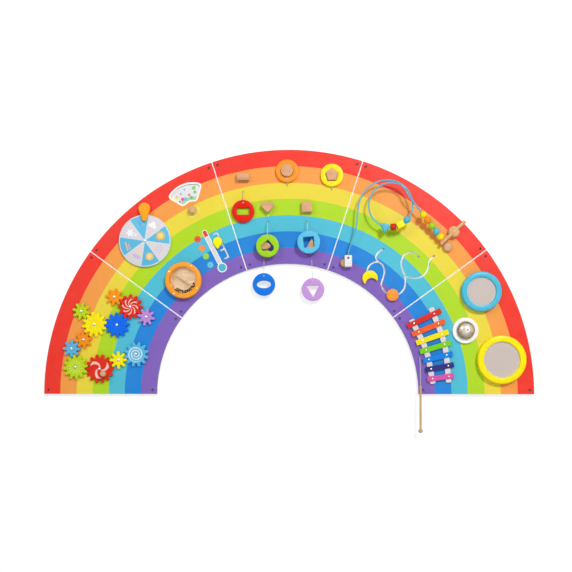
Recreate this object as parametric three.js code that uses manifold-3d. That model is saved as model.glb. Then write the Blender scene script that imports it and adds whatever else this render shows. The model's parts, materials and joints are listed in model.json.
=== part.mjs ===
// Half-round wall activity board: five wedge panels with gears, weather, shapes, beads and music.
// Every piece is drawn on the flat board: x to the right, y up from the centre of the arches,
// z out from the wall. One group then stands the board up, with its back on the plane y = 0.
// Sizes are millimetres.
import * as THREE from "three";
import { mergeVertices } from "three/addons/utils/BufferGeometryUtils.js";
import Module from "manifold-3d";

const wasm = await Module();
wasm.setup();

// Board and its five panels
const BOARD_RADIUS = 975;
const BAND_WIDTH = 65;
const BAND_COUNT = 7;
const PANEL_COUNT = 5;
const PANEL_THICKNESS = 15;
const PANEL_CHAMFER = 2;
const CLEARANCE = 0.3;
const SCREW_INSET = 18;
const SCREW_HOLE_RADIUS = 3;

// Gear wall
const GEAR_MODULE = 7.5;
const GEAR_THICKNESS = 12;
const GEAR_ADDENDUM = 5.6;
const GEAR_DEDENDUM = 9;
const GEAR_BACKLASH = 0.6;
const PRESSURE_ANGLE = THREE.MathUtils.degToRad(25);
const AXLE_RADIUS = 3.4;
const AXLE_PLAY = 0.6;
const AXLE_HEAD_RADIUS = 5;
const AXLE_HEAD_HEIGHT = 2.5;
const CRANK_KNOB_RADIUS = 11;
const CRANK_KNOB_HEIGHT = 32;
const CRANK_KNOB_OFFSET = 28;
const CRANK_KNOB_ANGLE = -43;
const CRANK_ANGLE = 172.2;
const CRANK_RISE = 7.5;

// Weather panel
const WHEEL_INSET = 140;
const WHEEL_RADIUS = 104;
const WHEEL_THICKNESS = 12;
const POINTER_RADIUS = 23;
const POINTER_LENGTH = 51;
const POINTER_RISE = 127;
const POINTER_THICKNESS = 8;
const POINTER_BOSS_RADIUS = 12;
const SEASON_INSET = 149;
const SEASON_RADIUS = 112;
const SEASON_THICKNESS = 5;
const SEASON_POCKET_DEPTH = 8;
const SEASON_AXLE_RADIUS = 6;
const SEASON_KNOB_RADIUS = 15;
const SEASON_KNOB_HEIGHT = 24;
const WINDOW_INNER = 42;
const WINDOW_OUTER = 107;
const WINDOW_FROM = 73;
const WINDOW_TO = 150;
const WINDOW_CORNER = 9;
const RAIN_RISE = 93;
const RAIN_RADIUS = 72;
const RAIN_RIM = 20;
const RAIN_HEIGHT = 26;
const RAIN_FLOOR = 8;
const RAIN_COVER_THICKNESS = 2;
const RAIN_COVER_LIP = 3;
const RAIN_BAFFLE_LENGTH = 80;
const RAIN_BAFFLE_WIDTH = 3;
const RAIN_BAFFLE_ANGLE = -33;
const MARKER_RADIUS = 18;
const MARKER_LENGTH = 28;
const MARKER_THICKNESS = 10;
const MARKER_OFFSET = 13.5;
const COMB_RISE = 184;
const COMB_LENGTH = 107;
const COMB_ANGLE = -65;
const COMB_NOTCH = 15;
const COMB_NOTCHES = 4;

// Tracks cut for the sliding markers: a narrow slot over a wider channel that holds the foot
const TRACK_WIDTH = 8;
const TRACK_FOOT_WIDTH = 13;
const TRACK_LIP = 4;
const TRACK_DEPTH = 8;

// Shape pegs and their discs on cords
const PEG_HEIGHT = 22;
const PEG_FIT = 1;
const TOP_PEG_INSET = 87;
const RECTANGLE_PEG_INSET = 93;
const LOW_PEG_RISE = 76.5;
const RECTANGLE_PEG_WIDTH = 48;
const RECTANGLE_PEG_HEIGHT = 26;
const CIRCLE_PEG_RADIUS = 24;
const PENTAGON_PEG_RADIUS = 26;
const HEART_PEG_WIDTH = 50;
const SQUARE_PEG_WIDTH = 40;
const OVAL_PEG_WIDTH = 54;
const OVAL_PEG_HEIGHT = 28;
const TRIANGLE_PEG_RADIUS = 28;
const DISC_RADIUS = 45;
const DISC_THICKNESS = 12;
const CORD_RADIUS = 1.2;
const CORD_HOLE_RADIUS = 2.5;
const CORD_DROP = 55;
const CORD_STUB = 11;
const CORD_LEAD = 2.5;
const CORD_TIE = 3;
const RED_HANG = 81;
const GREEN_HANG = 101;
const TEAL_HANG = 87;
const BLUE_HANG = 97;
const LILAC_HANG = 117;

// Bead wire
const WIRE_RADIUS = 3;
const WIRE_BORE = 3.9;
const WIRE_HEIGHT = 40;
const WIRE_LOOP_RADIUS = 86;
const WIRE_RISE = 12;
const WIRE_END_HEIGHT = 24;
const WIRE_RUN = 217;
const WIRE_RUN_ANGLE = -50.8;
const WIRE_RUN_INSET = 14;
const WIRE_RUN_RISE = 29;
const WIRE_FOOT_HEIGHT = 18;
const WIRE_FOOT_DEPTH = 10;
const WIRE_FLARE = 37;
const WIRE_LEAN = 29;
const WIRE_CLIMB = 104;
const LOOP_INSET = 128;
const SOCKET_RISE = 60;
const BEAD_BORE = 4.8;
const BALL_RADIUS = 14.2;
const STACK_BALL_RADIUS = 13.4;
const STACK_COUNT = 5;
const STACK_GAP = 0.6;
const BLOCK_BEAD_LENGTH = 30;
const BLOCK_BEAD_WIDTH = 26;
const DRUM_BEAD_LENGTH = 20;
const DRUM_BEAD_BORE = 4;
const DRUM_BEAD_RADIUS = 13;
const HEART_BEAD_WIDTH = 32;
const HEART_BEAD_STRETCH = 1.35;
const HEART_BEAD_THICKNESS = 15;
const SOCKET_WIDTH = 29;
const SOCKET_HEIGHT = 45;
const SOCKET_DEPTH = 30;
const SOCKET_DOWEL_RADIUS = 16;
const STOP_BAR_RADIUS = 6.8;
const STOP_BAR_LENGTH = 131;
const STOP_BAR_OVERHANG = 17;
const STOP_BAR_ANGLE = 43;
const STOP_POST_RADIUS = 22;
const STOP_POST_HEIGHT = 26;
const STOP_POST_REACH = 73;
const END_KNOB_INSET = 114;
const END_KNOB_RADIUS = 18;
const END_KNOB_HEIGHT = 20;

// Sky track markers
const SUN_RADIUS = 24;
const MOON_RADIUS = 30.3;
const MOON_TILT = 15;
const SUN_RISE = 90.5;
const SKY_MARKER_THICKNESS = 13;
const SUN_LOOP_RADIUS = 47.5;
const MOON_LOOP_RADIUS = 39.5;

// Music panel
const BAR_COUNT = 7;
const BAR_WIDTH = 21;
const BAR_THICKNESS = 4;
const BAR_FIRST_ANGLE = 6.4;
const BAR_STEP_ANGLE = 3.78;
const BAR_FIRST_LEAN = 1.4;
const BAR_LAST_LEAN = -3.6;
const BAR_SHORT_INSET = 36;
const BAR_LONG_INSET = 25;
const BAR_SHORT_LENGTH = 107;
const BAR_LONG_LENGTH = 147;
const FELT_WIDTH = 21;
const FELT_HEIGHT = 8;
const BELL_BASE_RADIUS = 51;
const BELL_BASE_HEIGHT = 12;
const BELL_DOME_RADIUS = 35;
const BELL_DOME_HEIGHT = 25;
const BELL_WALL = 2;
const BELL_LIFT = 4;
const BELL_POST_RADIUS = 8;
const BELL_POST_GAP = 1.3;
const BUTTON_STEM_RADIUS = 4;
const BUTTON_RADIUS = 10.5;
const BUTTON_HEIGHT = 5;
const BUTTON_TRAVEL = 3.5;
const DRUM_HEIGHT = 26;
const DRUM_RECESS = 9;
const DRUM_HEAD_THICKNESS = 4;
const DRUM_LEDGE = 6;
const BLUE_DRUM_INSET = 109.5;
const BLUE_DRUM_RADIUS = 78;
const BLUE_DRUM_OPENING = 57;
const YELLOW_DRUM_INSET = 121;
const YELLOW_DRUM_RADIUS = 95;
const YELLOW_DRUM_OPENING = 71;
const MALLET_STICK_RADIUS = 4.3;
const MALLET_STICK_LENGTH = 186;
const MALLET_BALL_RADIUS = 9;
const MALLET_CORD_LENGTH = 112;
const MALLET_STANDOFF = 28;
const MALLET_HOLE_RISE = 24;

// Sizes that follow from the ones above
const INNER_RADIUS = BOARD_RADIUS - BAND_COUNT * BAND_WIDTH;
const MID_RADIUS = (BOARD_RADIUS + INNER_RADIUS) / 2;
const PANEL_ANGLE = 180 / PANEL_COUNT;
const FRONT = PANEL_THICKNESS;
const SEAT = FRONT + CLEARANCE;

const rad = THREE.MathUtils.degToRad;

/** Point on the board at an angle from the right-hand base line and a radius from the arch centre. */
function at(angle, radius) {
  return new THREE.Vector2(radius * Math.cos(rad(angle)), radius * Math.sin(rad(angle)));
}

// Solids: closed three.js geometry turned into a body that can be joined and cut

function solid(geometry) {
  const bare = geometry.clone();
  bare.deleteAttribute("normal");
  bare.deleteAttribute("uv");
  const merged = mergeVertices(bare, 1e-4);
  const vertProperties = new Float32Array(merged.attributes.position.array);
  const triVerts = new Uint32Array(merged.index.array);
  let volume = 0;
  const corner = (k) => new THREE.Vector3().fromArray(vertProperties, 3 * triVerts[k]);
  for (let k = 0; k < triVerts.length; k += 3) {
    volume += corner(k).dot(corner(k + 1).cross(corner(k + 2)));
  }
  if (volume < 0) {
    triVerts.reverse();
  }
  return new wasm.Manifold(new wasm.Mesh({ numProp: 3, vertProperties, triVerts }));
}

function geometryOf(body) {
  const mesh = body.getMesh();
  const geometry = new THREE.BufferGeometry();
  geometry.setAttribute("position", new THREE.BufferAttribute(new Float32Array(mesh.vertProperties), 3));
  geometry.setIndex(new THREE.BufferAttribute(new Uint32Array(mesh.triVerts), 1));
  geometry.computeVertexNormals();
  return geometry;
}

const joined = (bodies) => bodies.reduce((whole, body) => whole.add(body));
const cut = (body, tools) => tools.reduce((left, tool) => left.subtract(tool), body);

/** Straight block of an outline between two heights. */
function prism(shape, bottom, top, curveSegments = 12) {
  const options = { depth: top - bottom, bevelEnabled: false, curveSegments };
  return solid(new THREE.ExtrudeGeometry(shape, options).translate(0, 0, bottom));
}

/** Block of an outline whose front and back edges are eased by a small chamfer. */
function easedPrism(shape, bottom, top, chamfer, curveSegments = 12) {
  const options = {
    depth: top - bottom - 2 * chamfer,
    bevelEnabled: true,
    bevelThickness: chamfer,
    bevelSize: chamfer,
    bevelOffset: -chamfer,
    bevelSegments: 1,
    curveSegments,
  };
  return solid(new THREE.ExtrudeGeometry(shape, options).translate(0, 0, bottom + chamfer));
}

/** Turned piece: pairs of radius and height, starting and ending on the axis or closing on themselves. */
function turned(profile, segments = 24) {
  const points = profile.map(([radius, height]) => new THREE.Vector2(radius, height));
  return solid(new THREE.LatheGeometry(points, segments).rotateX(Math.PI / 2));
}

function pin(centre, radius, bottom, top, sides = 12) {
  const geometry = new THREE.CylinderGeometry(radius, radius, top - bottom, sides);
  return solid(geometry.rotateX(Math.PI / 2).translate(centre.x, centre.y, (top + bottom) / 2));
}

function disc(radius) {
  return new THREE.Shape().absarc(0, 0, radius, 0, 2 * Math.PI);
}

function polygon(corners, radius, startAngle) {
  const turns = Array.from({ length: corners }, (_, corner) => startAngle + (360 * corner) / corners);
  return new THREE.Shape(turns.map((turn) => at(turn, radius)));
}

/** Round tube along a smooth curve through hand-set points. */
function tube(points, radius, steps, sides = 8) {
  const path = new THREE.CatmullRomCurve3(points);
  return solid(new THREE.ExtrudeGeometry(polygon(sides, radius, 0), { steps, extrudePath: path }));
}

// The scene graph: one group stands the flat board up on its back

const activityBoard = new THREE.Group();
const flatBoard = new THREE.Group();
flatBoard.rotation.x = Math.PI / 2;
flatBoard.position.z = -MID_RADIUS;
activityBoard.add(flatBoard);

const FINISHES = {
  whiteBoard: { color: 0xf2f0ea, roughness: 0.45, metalness: 0 },
  wood: { color: 0xe2b483, roughness: 0.6, metalness: 0 },
  red: { color: 0xe03a12, roughness: 0.4, metalness: 0 },
  orange: { color: 0xf5a02a, roughness: 0.4, metalness: 0 },
  yellow: { color: 0xf4e81c, roughness: 0.4, metalness: 0 },
  lime: { color: 0xa6d82a, roughness: 0.4, metalness: 0 },
  sky: { color: 0x68c2de, roughness: 0.4, metalness: 0 },
  blue: { color: 0x0f74dc, roughness: 0.4, metalness: 0 },
  lilac: { color: 0xc39bda, roughness: 0.4, metalness: 0 },
  navy: { color: 0x343d7b, roughness: 0.35, metalness: 0.2 },
  pink: { color: 0xd06fae, roughness: 0.35, metalness: 0.2 },
  grey: { color: 0xc8bab2, roughness: 0.5, metalness: 0 },
  chrome: { color: 0xd8d4cc, roughness: 0.12, metalness: 1 },
  white: { color: 0xf5f5f2, roughness: 0.4, metalness: 0 },
  clear: { color: 0xf4f8fa, roughness: 0.05, metalness: 0 },
};

function addPart(name, body, finish, centre = new THREE.Vector2(), angle = 0) {
  const material = new THREE.MeshStandardMaterial(FINISHES[finish]);
  const mesh = new THREE.Mesh(geometryOf(body), material);
  mesh.name = name;
  mesh.position.set(centre.x, centre.y, 0);
  mesh.rotation.z = rad(angle);
  flatBoard.add(mesh);
}

// Wedge panels

/** Wedge of the half ring, drawn with a small gap to its neighbours. */
function wedgeOutline(index) {
  const gap = index === 0 || index === PANEL_COUNT ? 0 : CLEARANCE / MID_RADIUS / 2;
  const from = Math.PI - rad(PANEL_ANGLE * (index + 1)) + CLEARANCE / MID_RADIUS / 2;
  const to = Math.PI - rad(PANEL_ANGLE * index) - gap;
  const shape = new THREE.Shape();
  shape.absarc(0, 0, BOARD_RADIUS, from, to, false);
  shape.absarc(0, 0, INNER_RADIUS, to, from, true);
  return shape;
}

/** Holes for the wall screws near the four corners of a wedge. */
function screwHoles(index) {
  const holes = [];
  for (const radius of [INNER_RADIUS + SCREW_INSET, BOARD_RADIUS - SCREW_INSET]) {
    const inset = THREE.MathUtils.radToDeg(SCREW_INSET / radius);
    const start = 180 - PANEL_ANGLE * (index + 1);
    for (const angle of [start + inset, start + PANEL_ANGLE - inset]) {
      holes.push(pin(at(angle, radius), SCREW_HOLE_RADIUS, -1, FRONT + 1, 6));
    }
  }
  return holes;
}

function addPanel(name, index, standing, tools) {
  const wedge = easedPrism(wedgeOutline(index), 0, PANEL_THICKNESS, PANEL_CHAMFER, 5);
  const cutWedge = cut(wedge, [...screwHoles(index), ...tools]);
  addPart(name, joined([cutWedge, ...standing]), "whiteBoard");
}

/** Axle with a low head, standing in a panel, that a wheel of some thickness turns on. */
function axle(centre, thickness) {
  const top = SEAT + thickness + CLEARANCE;
  const shank = pin(centre, AXLE_RADIUS, FRONT - 2, top + 0.5, 6);
  const head = pin(centre, AXLE_HEAD_RADIUS, top, top + AXLE_HEAD_HEIGHT, 6);
  return shank.add(head);
}

/** Slot over a wider foot channel along a curve on the board, with round ends where the run stops. */
function trackTools(curve, steps, stops) {
  const layers = [
    [TRACK_WIDTH, FRONT - TRACK_LIP, FRONT + 1],
    [TRACK_FOOT_WIDTH, FRONT - TRACK_DEPTH, FRONT - TRACK_LIP + 0.1],
  ];
  return layers.map(([width, bottom, top]) => {
    const half = (top - bottom) / 2;
    const section = new THREE.Shape();
    section.moveTo(-half, -width / 2);
    section.lineTo(half, -width / 2);
    section.lineTo(half, width / 2);
    section.lineTo(-half, width / 2);
    const level = (top + bottom) / 2;
    const points = curve.getSpacedPoints(steps).map((p) => new THREE.Vector3(p.x, p.y, level));
    const path = new THREE.CatmullRomCurve3(points);
    const run = solid(new THREE.ExtrudeGeometry(section, { steps, extrudePath: path }));
    const ends = stops.map((share) => pin(curve.getPointAt(share), width / 2, bottom, top, 8));
    return joined([run, ...ends]);
  });
}

/** Peg and foot under a sliding marker that fit the slot and its channel. */
function trackFoot(centre) {
  const foot = pin(
    centre,
    TRACK_FOOT_WIDTH / 2 - 2 * CLEARANCE,
    FRONT - TRACK_DEPTH + CLEARANCE,
    FRONT - TRACK_LIP - CLEARANCE,
    8,
  );
  const peg = pin(centre, TRACK_WIDTH / 2 - 2 * CLEARANCE, FRONT - TRACK_DEPTH + 1, SEAT + 1, 8);
  return foot.add(peg);
}

// Gear wall: one train of twelve gears, laid out from the crank gear by the direction of each mesh

const GEARS = [
  { name: "gear_red_crank", teeth: 14, finish: "red" },
  { name: "gear_lime_dotted", teeth: 12, finish: "lime", driver: 0, direction: 176 },
  { name: "gear_sky_small", teeth: 8, finish: "sky", driver: 1, direction: 102 },
  { name: "gear_orange_lower", teeth: 8, finish: "orange", driver: 2, direction: 37 },
  { name: "gear_yellow_dotted", teeth: 12, finish: "yellow", driver: 3, direction: 54 },
  { name: "gear_lime_small", teeth: 8, finish: "lime", driver: 4, direction: 135.5 },
  { name: "gear_blue", teeth: 12, finish: "blue", driver: 4, direction: -1.5 },
  { name: "gear_red_swirl", teeth: 12, finish: "red", driver: 6, direction: 53.5 },
  { name: "gear_orange_upper", teeth: 8, finish: "orange", driver: 7, direction: 148.5 },
  { name: "gear_lilac", teeth: 8, finish: "lilac", driver: 7, direction: -32.5 },
  { name: "gear_yellow_small", teeth: 8, finish: "yellow", driver: 0, direction: 25 },
  { name: "gear_sky_spiral", teeth: 12, finish: "sky", driver: 10, direction: 18 },
];

const pitchRadius = (teeth) => (GEAR_MODULE * teeth) / 2;

/** Centre and turn of each gear, so that its teeth stand in the gaps of the gear that drives it. */
function layOutGears() {
  GEARS[0].centre = at(CRANK_ANGLE, MID_RADIUS + CRANK_RISE);
  GEARS[0].turn = 0;
  for (const gear of GEARS.slice(1)) {
    const driver = GEARS[gear.driver];
    const direction = rad(gear.direction);
    const reach = pitchRadius(driver.teeth) + pitchRadius(gear.teeth);
    const step = new THREE.Vector2(Math.cos(direction), Math.sin(direction));
    gear.centre = driver.centre.clone().addScaledVector(step, reach);
    const slip = (Math.PI * GEAR_MODULE) / 2 - (driver.turn - direction) * pitchRadius(driver.teeth);
    gear.turn = direction + Math.PI + slip / pitchRadius(gear.teeth);
  }
}

/** Involute tooth outline: half the tooth's angle at a radius shrinks as the flank unwinds outward. */
function gearOutline(teeth) {
  const pitch = pitchRadius(teeth);
  const base = pitch * Math.cos(PRESSURE_ANGLE);
  const involute = (angle) => Math.tan(angle) - angle;
  const halfAtPitch = Math.PI / (2 * teeth) - GEAR_BACKLASH / (2 * pitch);
  const halfAngle = (radius) => {
    const pressure = Math.acos(Math.min(1, base / radius));
    return halfAtPitch + involute(PRESSURE_ANGLE) - involute(pressure);
  };
  const flank = [pitch - GEAR_DEDENDUM, pitch, pitch + GEAR_ADDENDUM];
  const outline = [];
  for (let tooth = 0; tooth < teeth; tooth += 1) {
    const middle = (2 * Math.PI * tooth) / teeth;
    const rising = flank.map((radius) => [radius, middle - halfAngle(radius)]);
    const falling = flank.map((radius) => [radius, middle + halfAngle(radius)]).reverse();
    for (const [radius, angle] of [...rising, ...falling]) {
      outline.push(new THREE.Vector2(radius * Math.cos(angle), radius * Math.sin(angle)));
    }
  }
  return new THREE.Shape(outline);
}

function addGears() {
  for (const gear of GEARS) {
    const plate = prism(gearOutline(gear.teeth), SEAT, SEAT + GEAR_THICKNESS);
    const bore = pin(new THREE.Vector2(), AXLE_RADIUS + AXLE_PLAY, SEAT - 1, SEAT + GEAR_THICKNESS + 1, 7);
    addPart(gear.name, plate.subtract(bore), gear.finish, gear.centre, THREE.MathUtils.radToDeg(gear.turn));
  }
  const knobFoot = SEAT + GEAR_THICKNESS + CLEARANCE;
  const neck = CRANK_KNOB_RADIUS * 0.62;
  const knob = turned([
    [0, knobFoot],
    [neck, knobFoot],
    [neck, knobFoot + CRANK_KNOB_HEIGHT * 0.35],
    [CRANK_KNOB_RADIUS, knobFoot + CRANK_KNOB_HEIGHT * 0.6],
    [CRANK_KNOB_RADIUS, knobFoot + CRANK_KNOB_HEIGHT * 0.82],
    [CRANK_KNOB_RADIUS * 0.6, knobFoot + CRANK_KNOB_HEIGHT],
    [0, knobFoot + CRANK_KNOB_HEIGHT],
  ], 10);
  const offset = at(CRANK_KNOB_ANGLE, CRANK_KNOB_OFFSET);
  addPart("crank_knob", knob, "wood", GEARS[0].centre.clone().add(offset));
}

// Weather panel: turning weather wheel, season disc behind a window, rain wheel, temperature marker

const WHEEL_CENTRE = at(132.8, BOARD_RADIUS - WHEEL_INSET);
const SEASON_CENTRE = at(117.2, BOARD_RADIUS - SEASON_INSET);
const RAIN_CENTRE = at(132.2, INNER_RADIUS + RAIN_RISE);
const COMB_TOP = at(113.4, INNER_RADIUS + COMB_RISE);
const COMB_RUN = at(COMB_ANGLE, 1);

/** Teardrop: a round head whose sides run tangent to a point below it. */
function teardrop(radius, length) {
  const touch = Math.asin(radius / length);
  const shape = new THREE.Shape();
  shape.absarc(0, 0, radius, -touch, Math.PI + touch, false);
  shape.lineTo(0, -length);
  return shape;
}

function addWeatherWheel() {
  const top = SEAT + WHEEL_THICKNESS;
  const ease = 1.5;
  const bore = AXLE_RADIUS + AXLE_PLAY;
  addPart("weather_wheel", turned([
    [bore, SEAT],
    [WHEEL_RADIUS, SEAT],
    [WHEEL_RADIUS, top - ease],
    [WHEEL_RADIUS - ease, top],
    [bore, top],
    [bore, SEAT],
  ], 26), "sky", WHEEL_CENTRE);
  const under = top + CLEARANCE + AXLE_HEAD_HEIGHT;
  const drop = prism(teardrop(POINTER_RADIUS, POINTER_LENGTH), under, under + POINTER_THICKNESS);
  const boss = pin(new THREE.Vector2(), POINTER_BOSS_RADIUS, SEAT, under + 1, 12);
  const place = WHEEL_CENTRE.clone().add(new THREE.Vector2(0, POINTER_RISE));
  addPart("weather_pointer", drop.add(boss), "orange", place);
}

/** Season disc, its axle through the panel and the knob that turns it, glued up as one. */
function addSeasonDisc() {
  const back = SEASON_POCKET_DEPTH - CLEARANCE - SEASON_THICKNESS;
  const knobTop = SEAT + SEASON_KNOB_HEIGHT;
  addPart("season_disc", turned([
    [0, back],
    [SEASON_RADIUS, back],
    [SEASON_RADIUS, back + SEASON_THICKNESS],
    [SEASON_AXLE_RADIUS, back + SEASON_THICKNESS],
    [SEASON_AXLE_RADIUS, SEAT],
    [SEASON_KNOB_RADIUS * 0.75, SEAT],
    [SEASON_KNOB_RADIUS, SEAT + SEASON_KNOB_HEIGHT * 0.45],
    [SEASON_KNOB_RADIUS, SEAT + SEASON_KNOB_HEIGHT * 0.75],
    [SEASON_KNOB_RADIUS * 0.6, knobTop],
    [0, knobTop],
  ], 18), "wood", SEASON_CENTRE);
}

function seasonTools() {
  const pocket = pin(SEASON_CENTRE, SEASON_RADIUS + 3, -1, SEASON_POCKET_DEPTH, 24);
  const bore = pin(SEASON_CENTRE, SEASON_AXLE_RADIUS + AXLE_PLAY, 0, FRONT + 1, 12);
  const fan = new THREE.Shape();
  fan.absarc(SEASON_CENTRE.x, SEASON_CENTRE.y, WINDOW_OUTER, rad(WINDOW_FROM), rad(WINDOW_TO), false);
  fan.absarc(SEASON_CENTRE.x, SEASON_CENTRE.y, WINDOW_INNER, rad(WINDOW_TO), rad(WINDOW_FROM), true);
  const outline = new wasm.CrossSection([fan.getPoints(6).map((p) => [p.x, p.y])]);
  const shrunk = outline.offset(-WINDOW_CORNER, "Round", 2, 12);
  const window = shrunk.offset(WINDOW_CORNER, "Round", 2, 12).simplify(0.2);
  const opening = window.extrude(FRONT + 2 - SEASON_POCKET_DEPTH).translate([0, 0, SEASON_POCKET_DEPTH - 1]);
  return [pocket, bore, opening];
}

/** Shallow round tray with a slanting baffle, closed in front by a clear cover. */
function addRainWheel() {
  const top = SEAT + RAIN_HEIGHT;
  const floor = SEAT + RAIN_FLOOR;
  const inside = RAIN_RADIUS - RAIN_RIM;
  const seatLevel = top - RAIN_COVER_THICKNESS - CLEARANCE;
  const ease = 2;
  const tray = turned([
    [0, SEAT],
    [RAIN_RADIUS, SEAT],
    [RAIN_RADIUS, top - ease],
    [RAIN_RADIUS - ease, top],
    [inside + RAIN_COVER_LIP, top],
    [inside + RAIN_COVER_LIP, seatLevel],
    [inside, seatLevel],
    [inside, floor],
    [0, floor],
  ], 20);
  const baffleHeight = seatLevel - CLEARANCE - floor + 1;
  const baffle = new THREE.BoxGeometry(RAIN_BAFFLE_LENGTH, RAIN_BAFFLE_WIDTH, baffleHeight);
  baffle.translate(0, 0, floor - 1 + baffleHeight / 2).rotateZ(rad(RAIN_BAFFLE_ANGLE));
  const socket = pin(new THREE.Vector2(), AXLE_RADIUS + AXLE_PLAY, SEAT - 1, floor - 2, 8);
  addPart("rain_wheel", tray.add(solid(baffle)).subtract(socket), "orange", RAIN_CENTRE);
  const coverRadius = inside + RAIN_COVER_LIP - CLEARANCE;
  const cover = prism(disc(coverRadius), seatLevel + CLEARANCE, top, 10);
  addPart("rain_cover", cover, "clear", RAIN_CENTRE);
}

function rainAxle() {
  return pin(RAIN_CENTRE, AXLE_RADIUS, FRONT - 2, SEAT + RAIN_FLOOR - 2 - CLEARANCE, 8);
}

/** Comb track beside the thermometer: one long run with a parking notch at each temperature. */
function combTools() {
  const end = COMB_TOP.clone().addScaledVector(COMB_RUN, COMB_LENGTH);
  const tools = trackTools(new THREE.LineCurve(COMB_TOP, end), 1, [0, 1]);
  const aside = at(COMB_ANGLE - 90, COMB_NOTCH);
  for (let notch = 0; notch < COMB_NOTCHES; notch += 1) {
    const mouth = COMB_TOP.clone().addScaledVector(COMB_RUN, (COMB_LENGTH * notch) / (COMB_NOTCHES - 1));
    tools.push(...trackTools(new THREE.LineCurve(mouth, mouth.clone().add(aside)), 1, [1]));
  }
  return tools;
}

function addTemperatureMarker() {
  const seat = COMB_TOP.clone().addScaledVector(COMB_RUN, COMB_LENGTH / (COMB_NOTCHES - 1));
  const head = prism(teardrop(MARKER_RADIUS, MARKER_LENGTH), SEAT, SEAT + MARKER_THICKNESS);
  const foot = at(COMB_ANGLE + 90, MARKER_OFFSET);
  const place = seat.clone().sub(foot);
  addPart("temperature_marker", head.add(trackFoot(foot)), "yellow", place);
}

// Shape panel: seven pegs, and for each a disc with the matching hole on a short cord

function box(width, height) {
  const shape = new THREE.Shape();
  shape.moveTo(-width / 2, -height / 2);
  shape.lineTo(width / 2, -height / 2);
  shape.lineTo(width / 2, height / 2);
  shape.lineTo(-width / 2, height / 2);
  return shape;
}

/** Heart: two round lobes whose outer sides run tangent to the point below. */
function heart(width) {
  const lobe = width * 0.27;
  const centre = width / 2 - lobe;
  const rise = width * 0.14;
  const tip = -width * 0.48;
  const fall = Math.hypot(centre, rise - tip);
  const start = Math.atan2(tip - rise, -centre) + Math.acos(lobe / fall);
  const dip = Math.acos(centre / lobe);
  const shape = new THREE.Shape();
  shape.absarc(centre, rise, lobe, start, Math.PI - dip, false);
  shape.absarc(-centre, rise, lobe, dip, Math.PI - start, false);
  shape.lineTo(0, tip);
  return shape;
}

const PEG_SHAPES = {
  rectangle: (grow) => box(RECTANGLE_PEG_WIDTH + 2 * grow, RECTANGLE_PEG_HEIGHT + 2 * grow),
  circle: (grow) => disc(CIRCLE_PEG_RADIUS + grow),
  pentagon: (grow) => polygon(5, PENTAGON_PEG_RADIUS + grow / Math.cos(Math.PI / 5), 90),
  heart: (grow) => heart(HEART_PEG_WIDTH + 2 * grow),
  square: (grow) => box(SQUARE_PEG_WIDTH + 2 * grow, SQUARE_PEG_WIDTH + 2 * grow),
  oval: (grow) => {
    const across = OVAL_PEG_WIDTH / 2 + grow;
    const upward = OVAL_PEG_HEIGHT / 2 + grow;
    return new THREE.Shape().absellipse(0, 0, across, upward, 0, 2 * Math.PI);
  },
  triangle: (grow) => polygon(3, TRIANGLE_PEG_RADIUS + 2 * grow, 90),
};

// Discs that hang are upside down: their cord is tied to the edge that is lowest on the peg.
// Sway is how far a disc hangs to the right of plumb, twist how far it has turned on its cord.
const TOP_ROW = BOARD_RADIUS - TOP_PEG_INSET;
const LOW_ROW = INNER_RADIUS + LOW_PEG_RISE;
const SHAPE_SETS = [
  {
    name: "disc_red",
    finish: "red",
    shape: "rectangle",
    peg: at(101.45, BOARD_RADIUS - RECTANGLE_PEG_INSET),
    hang: RED_HANG,
  },
  { name: "disc_orange", finish: "orange", shape: "circle", peg: at(90, TOP_ROW) },
  { name: "disc_yellow", finish: "yellow", shape: "pentagon", peg: at(78.45, TOP_ROW) },
  {
    name: "disc_green",
    finish: "lime",
    shape: "heart",
    peg: at(95.9, MID_RADIUS),
    hang: GREEN_HANG,
    twist: -6,
    proud: PEG_HEIGHT,
  },
  {
    name: "disc_teal",
    finish: "sky",
    shape: "square",
    peg: at(84, MID_RADIUS),
    hang: TEAL_HANG,
    sway: 5,
    proud: PEG_HEIGHT,
  },
  { name: "disc_blue", finish: "blue", shape: "oval", peg: at(98.9, LOW_ROW), hang: BLUE_HANG },
  {
    name: "disc_lilac",
    finish: "lilac",
    shape: "triangle",
    peg: at(80.6, LOW_ROW),
    hang: LILAC_HANG,
    sway: 2.5,
  },
];

const cordHole = (set) => set.peg.clone().add(new THREE.Vector2(0, -CORD_DROP));

function shapePegs() {
  return SHAPE_SETS.map((set) => {
    const geometry = new THREE.ExtrudeGeometry(PEG_SHAPES[set.shape](0), {
      depth: PEG_HEIGHT + 2,
      bevelEnabled: false,
      curveSegments: 6,
    });
    return solid(geometry.translate(set.peg.x, set.peg.y, FRONT - 2));
  });
}

const cordHoleTool = (centre) => pin(centre, CORD_HOLE_RADIUS, -1, FRONT + 1, 6);

/** Straight end of a cord in its hole in the panel. */
function cordStub(centre) {
  return pin(centre, CORD_RADIUS, FRONT - CORD_STUB, FRONT + CORD_LEAD + 0.5, 5);
}

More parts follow.
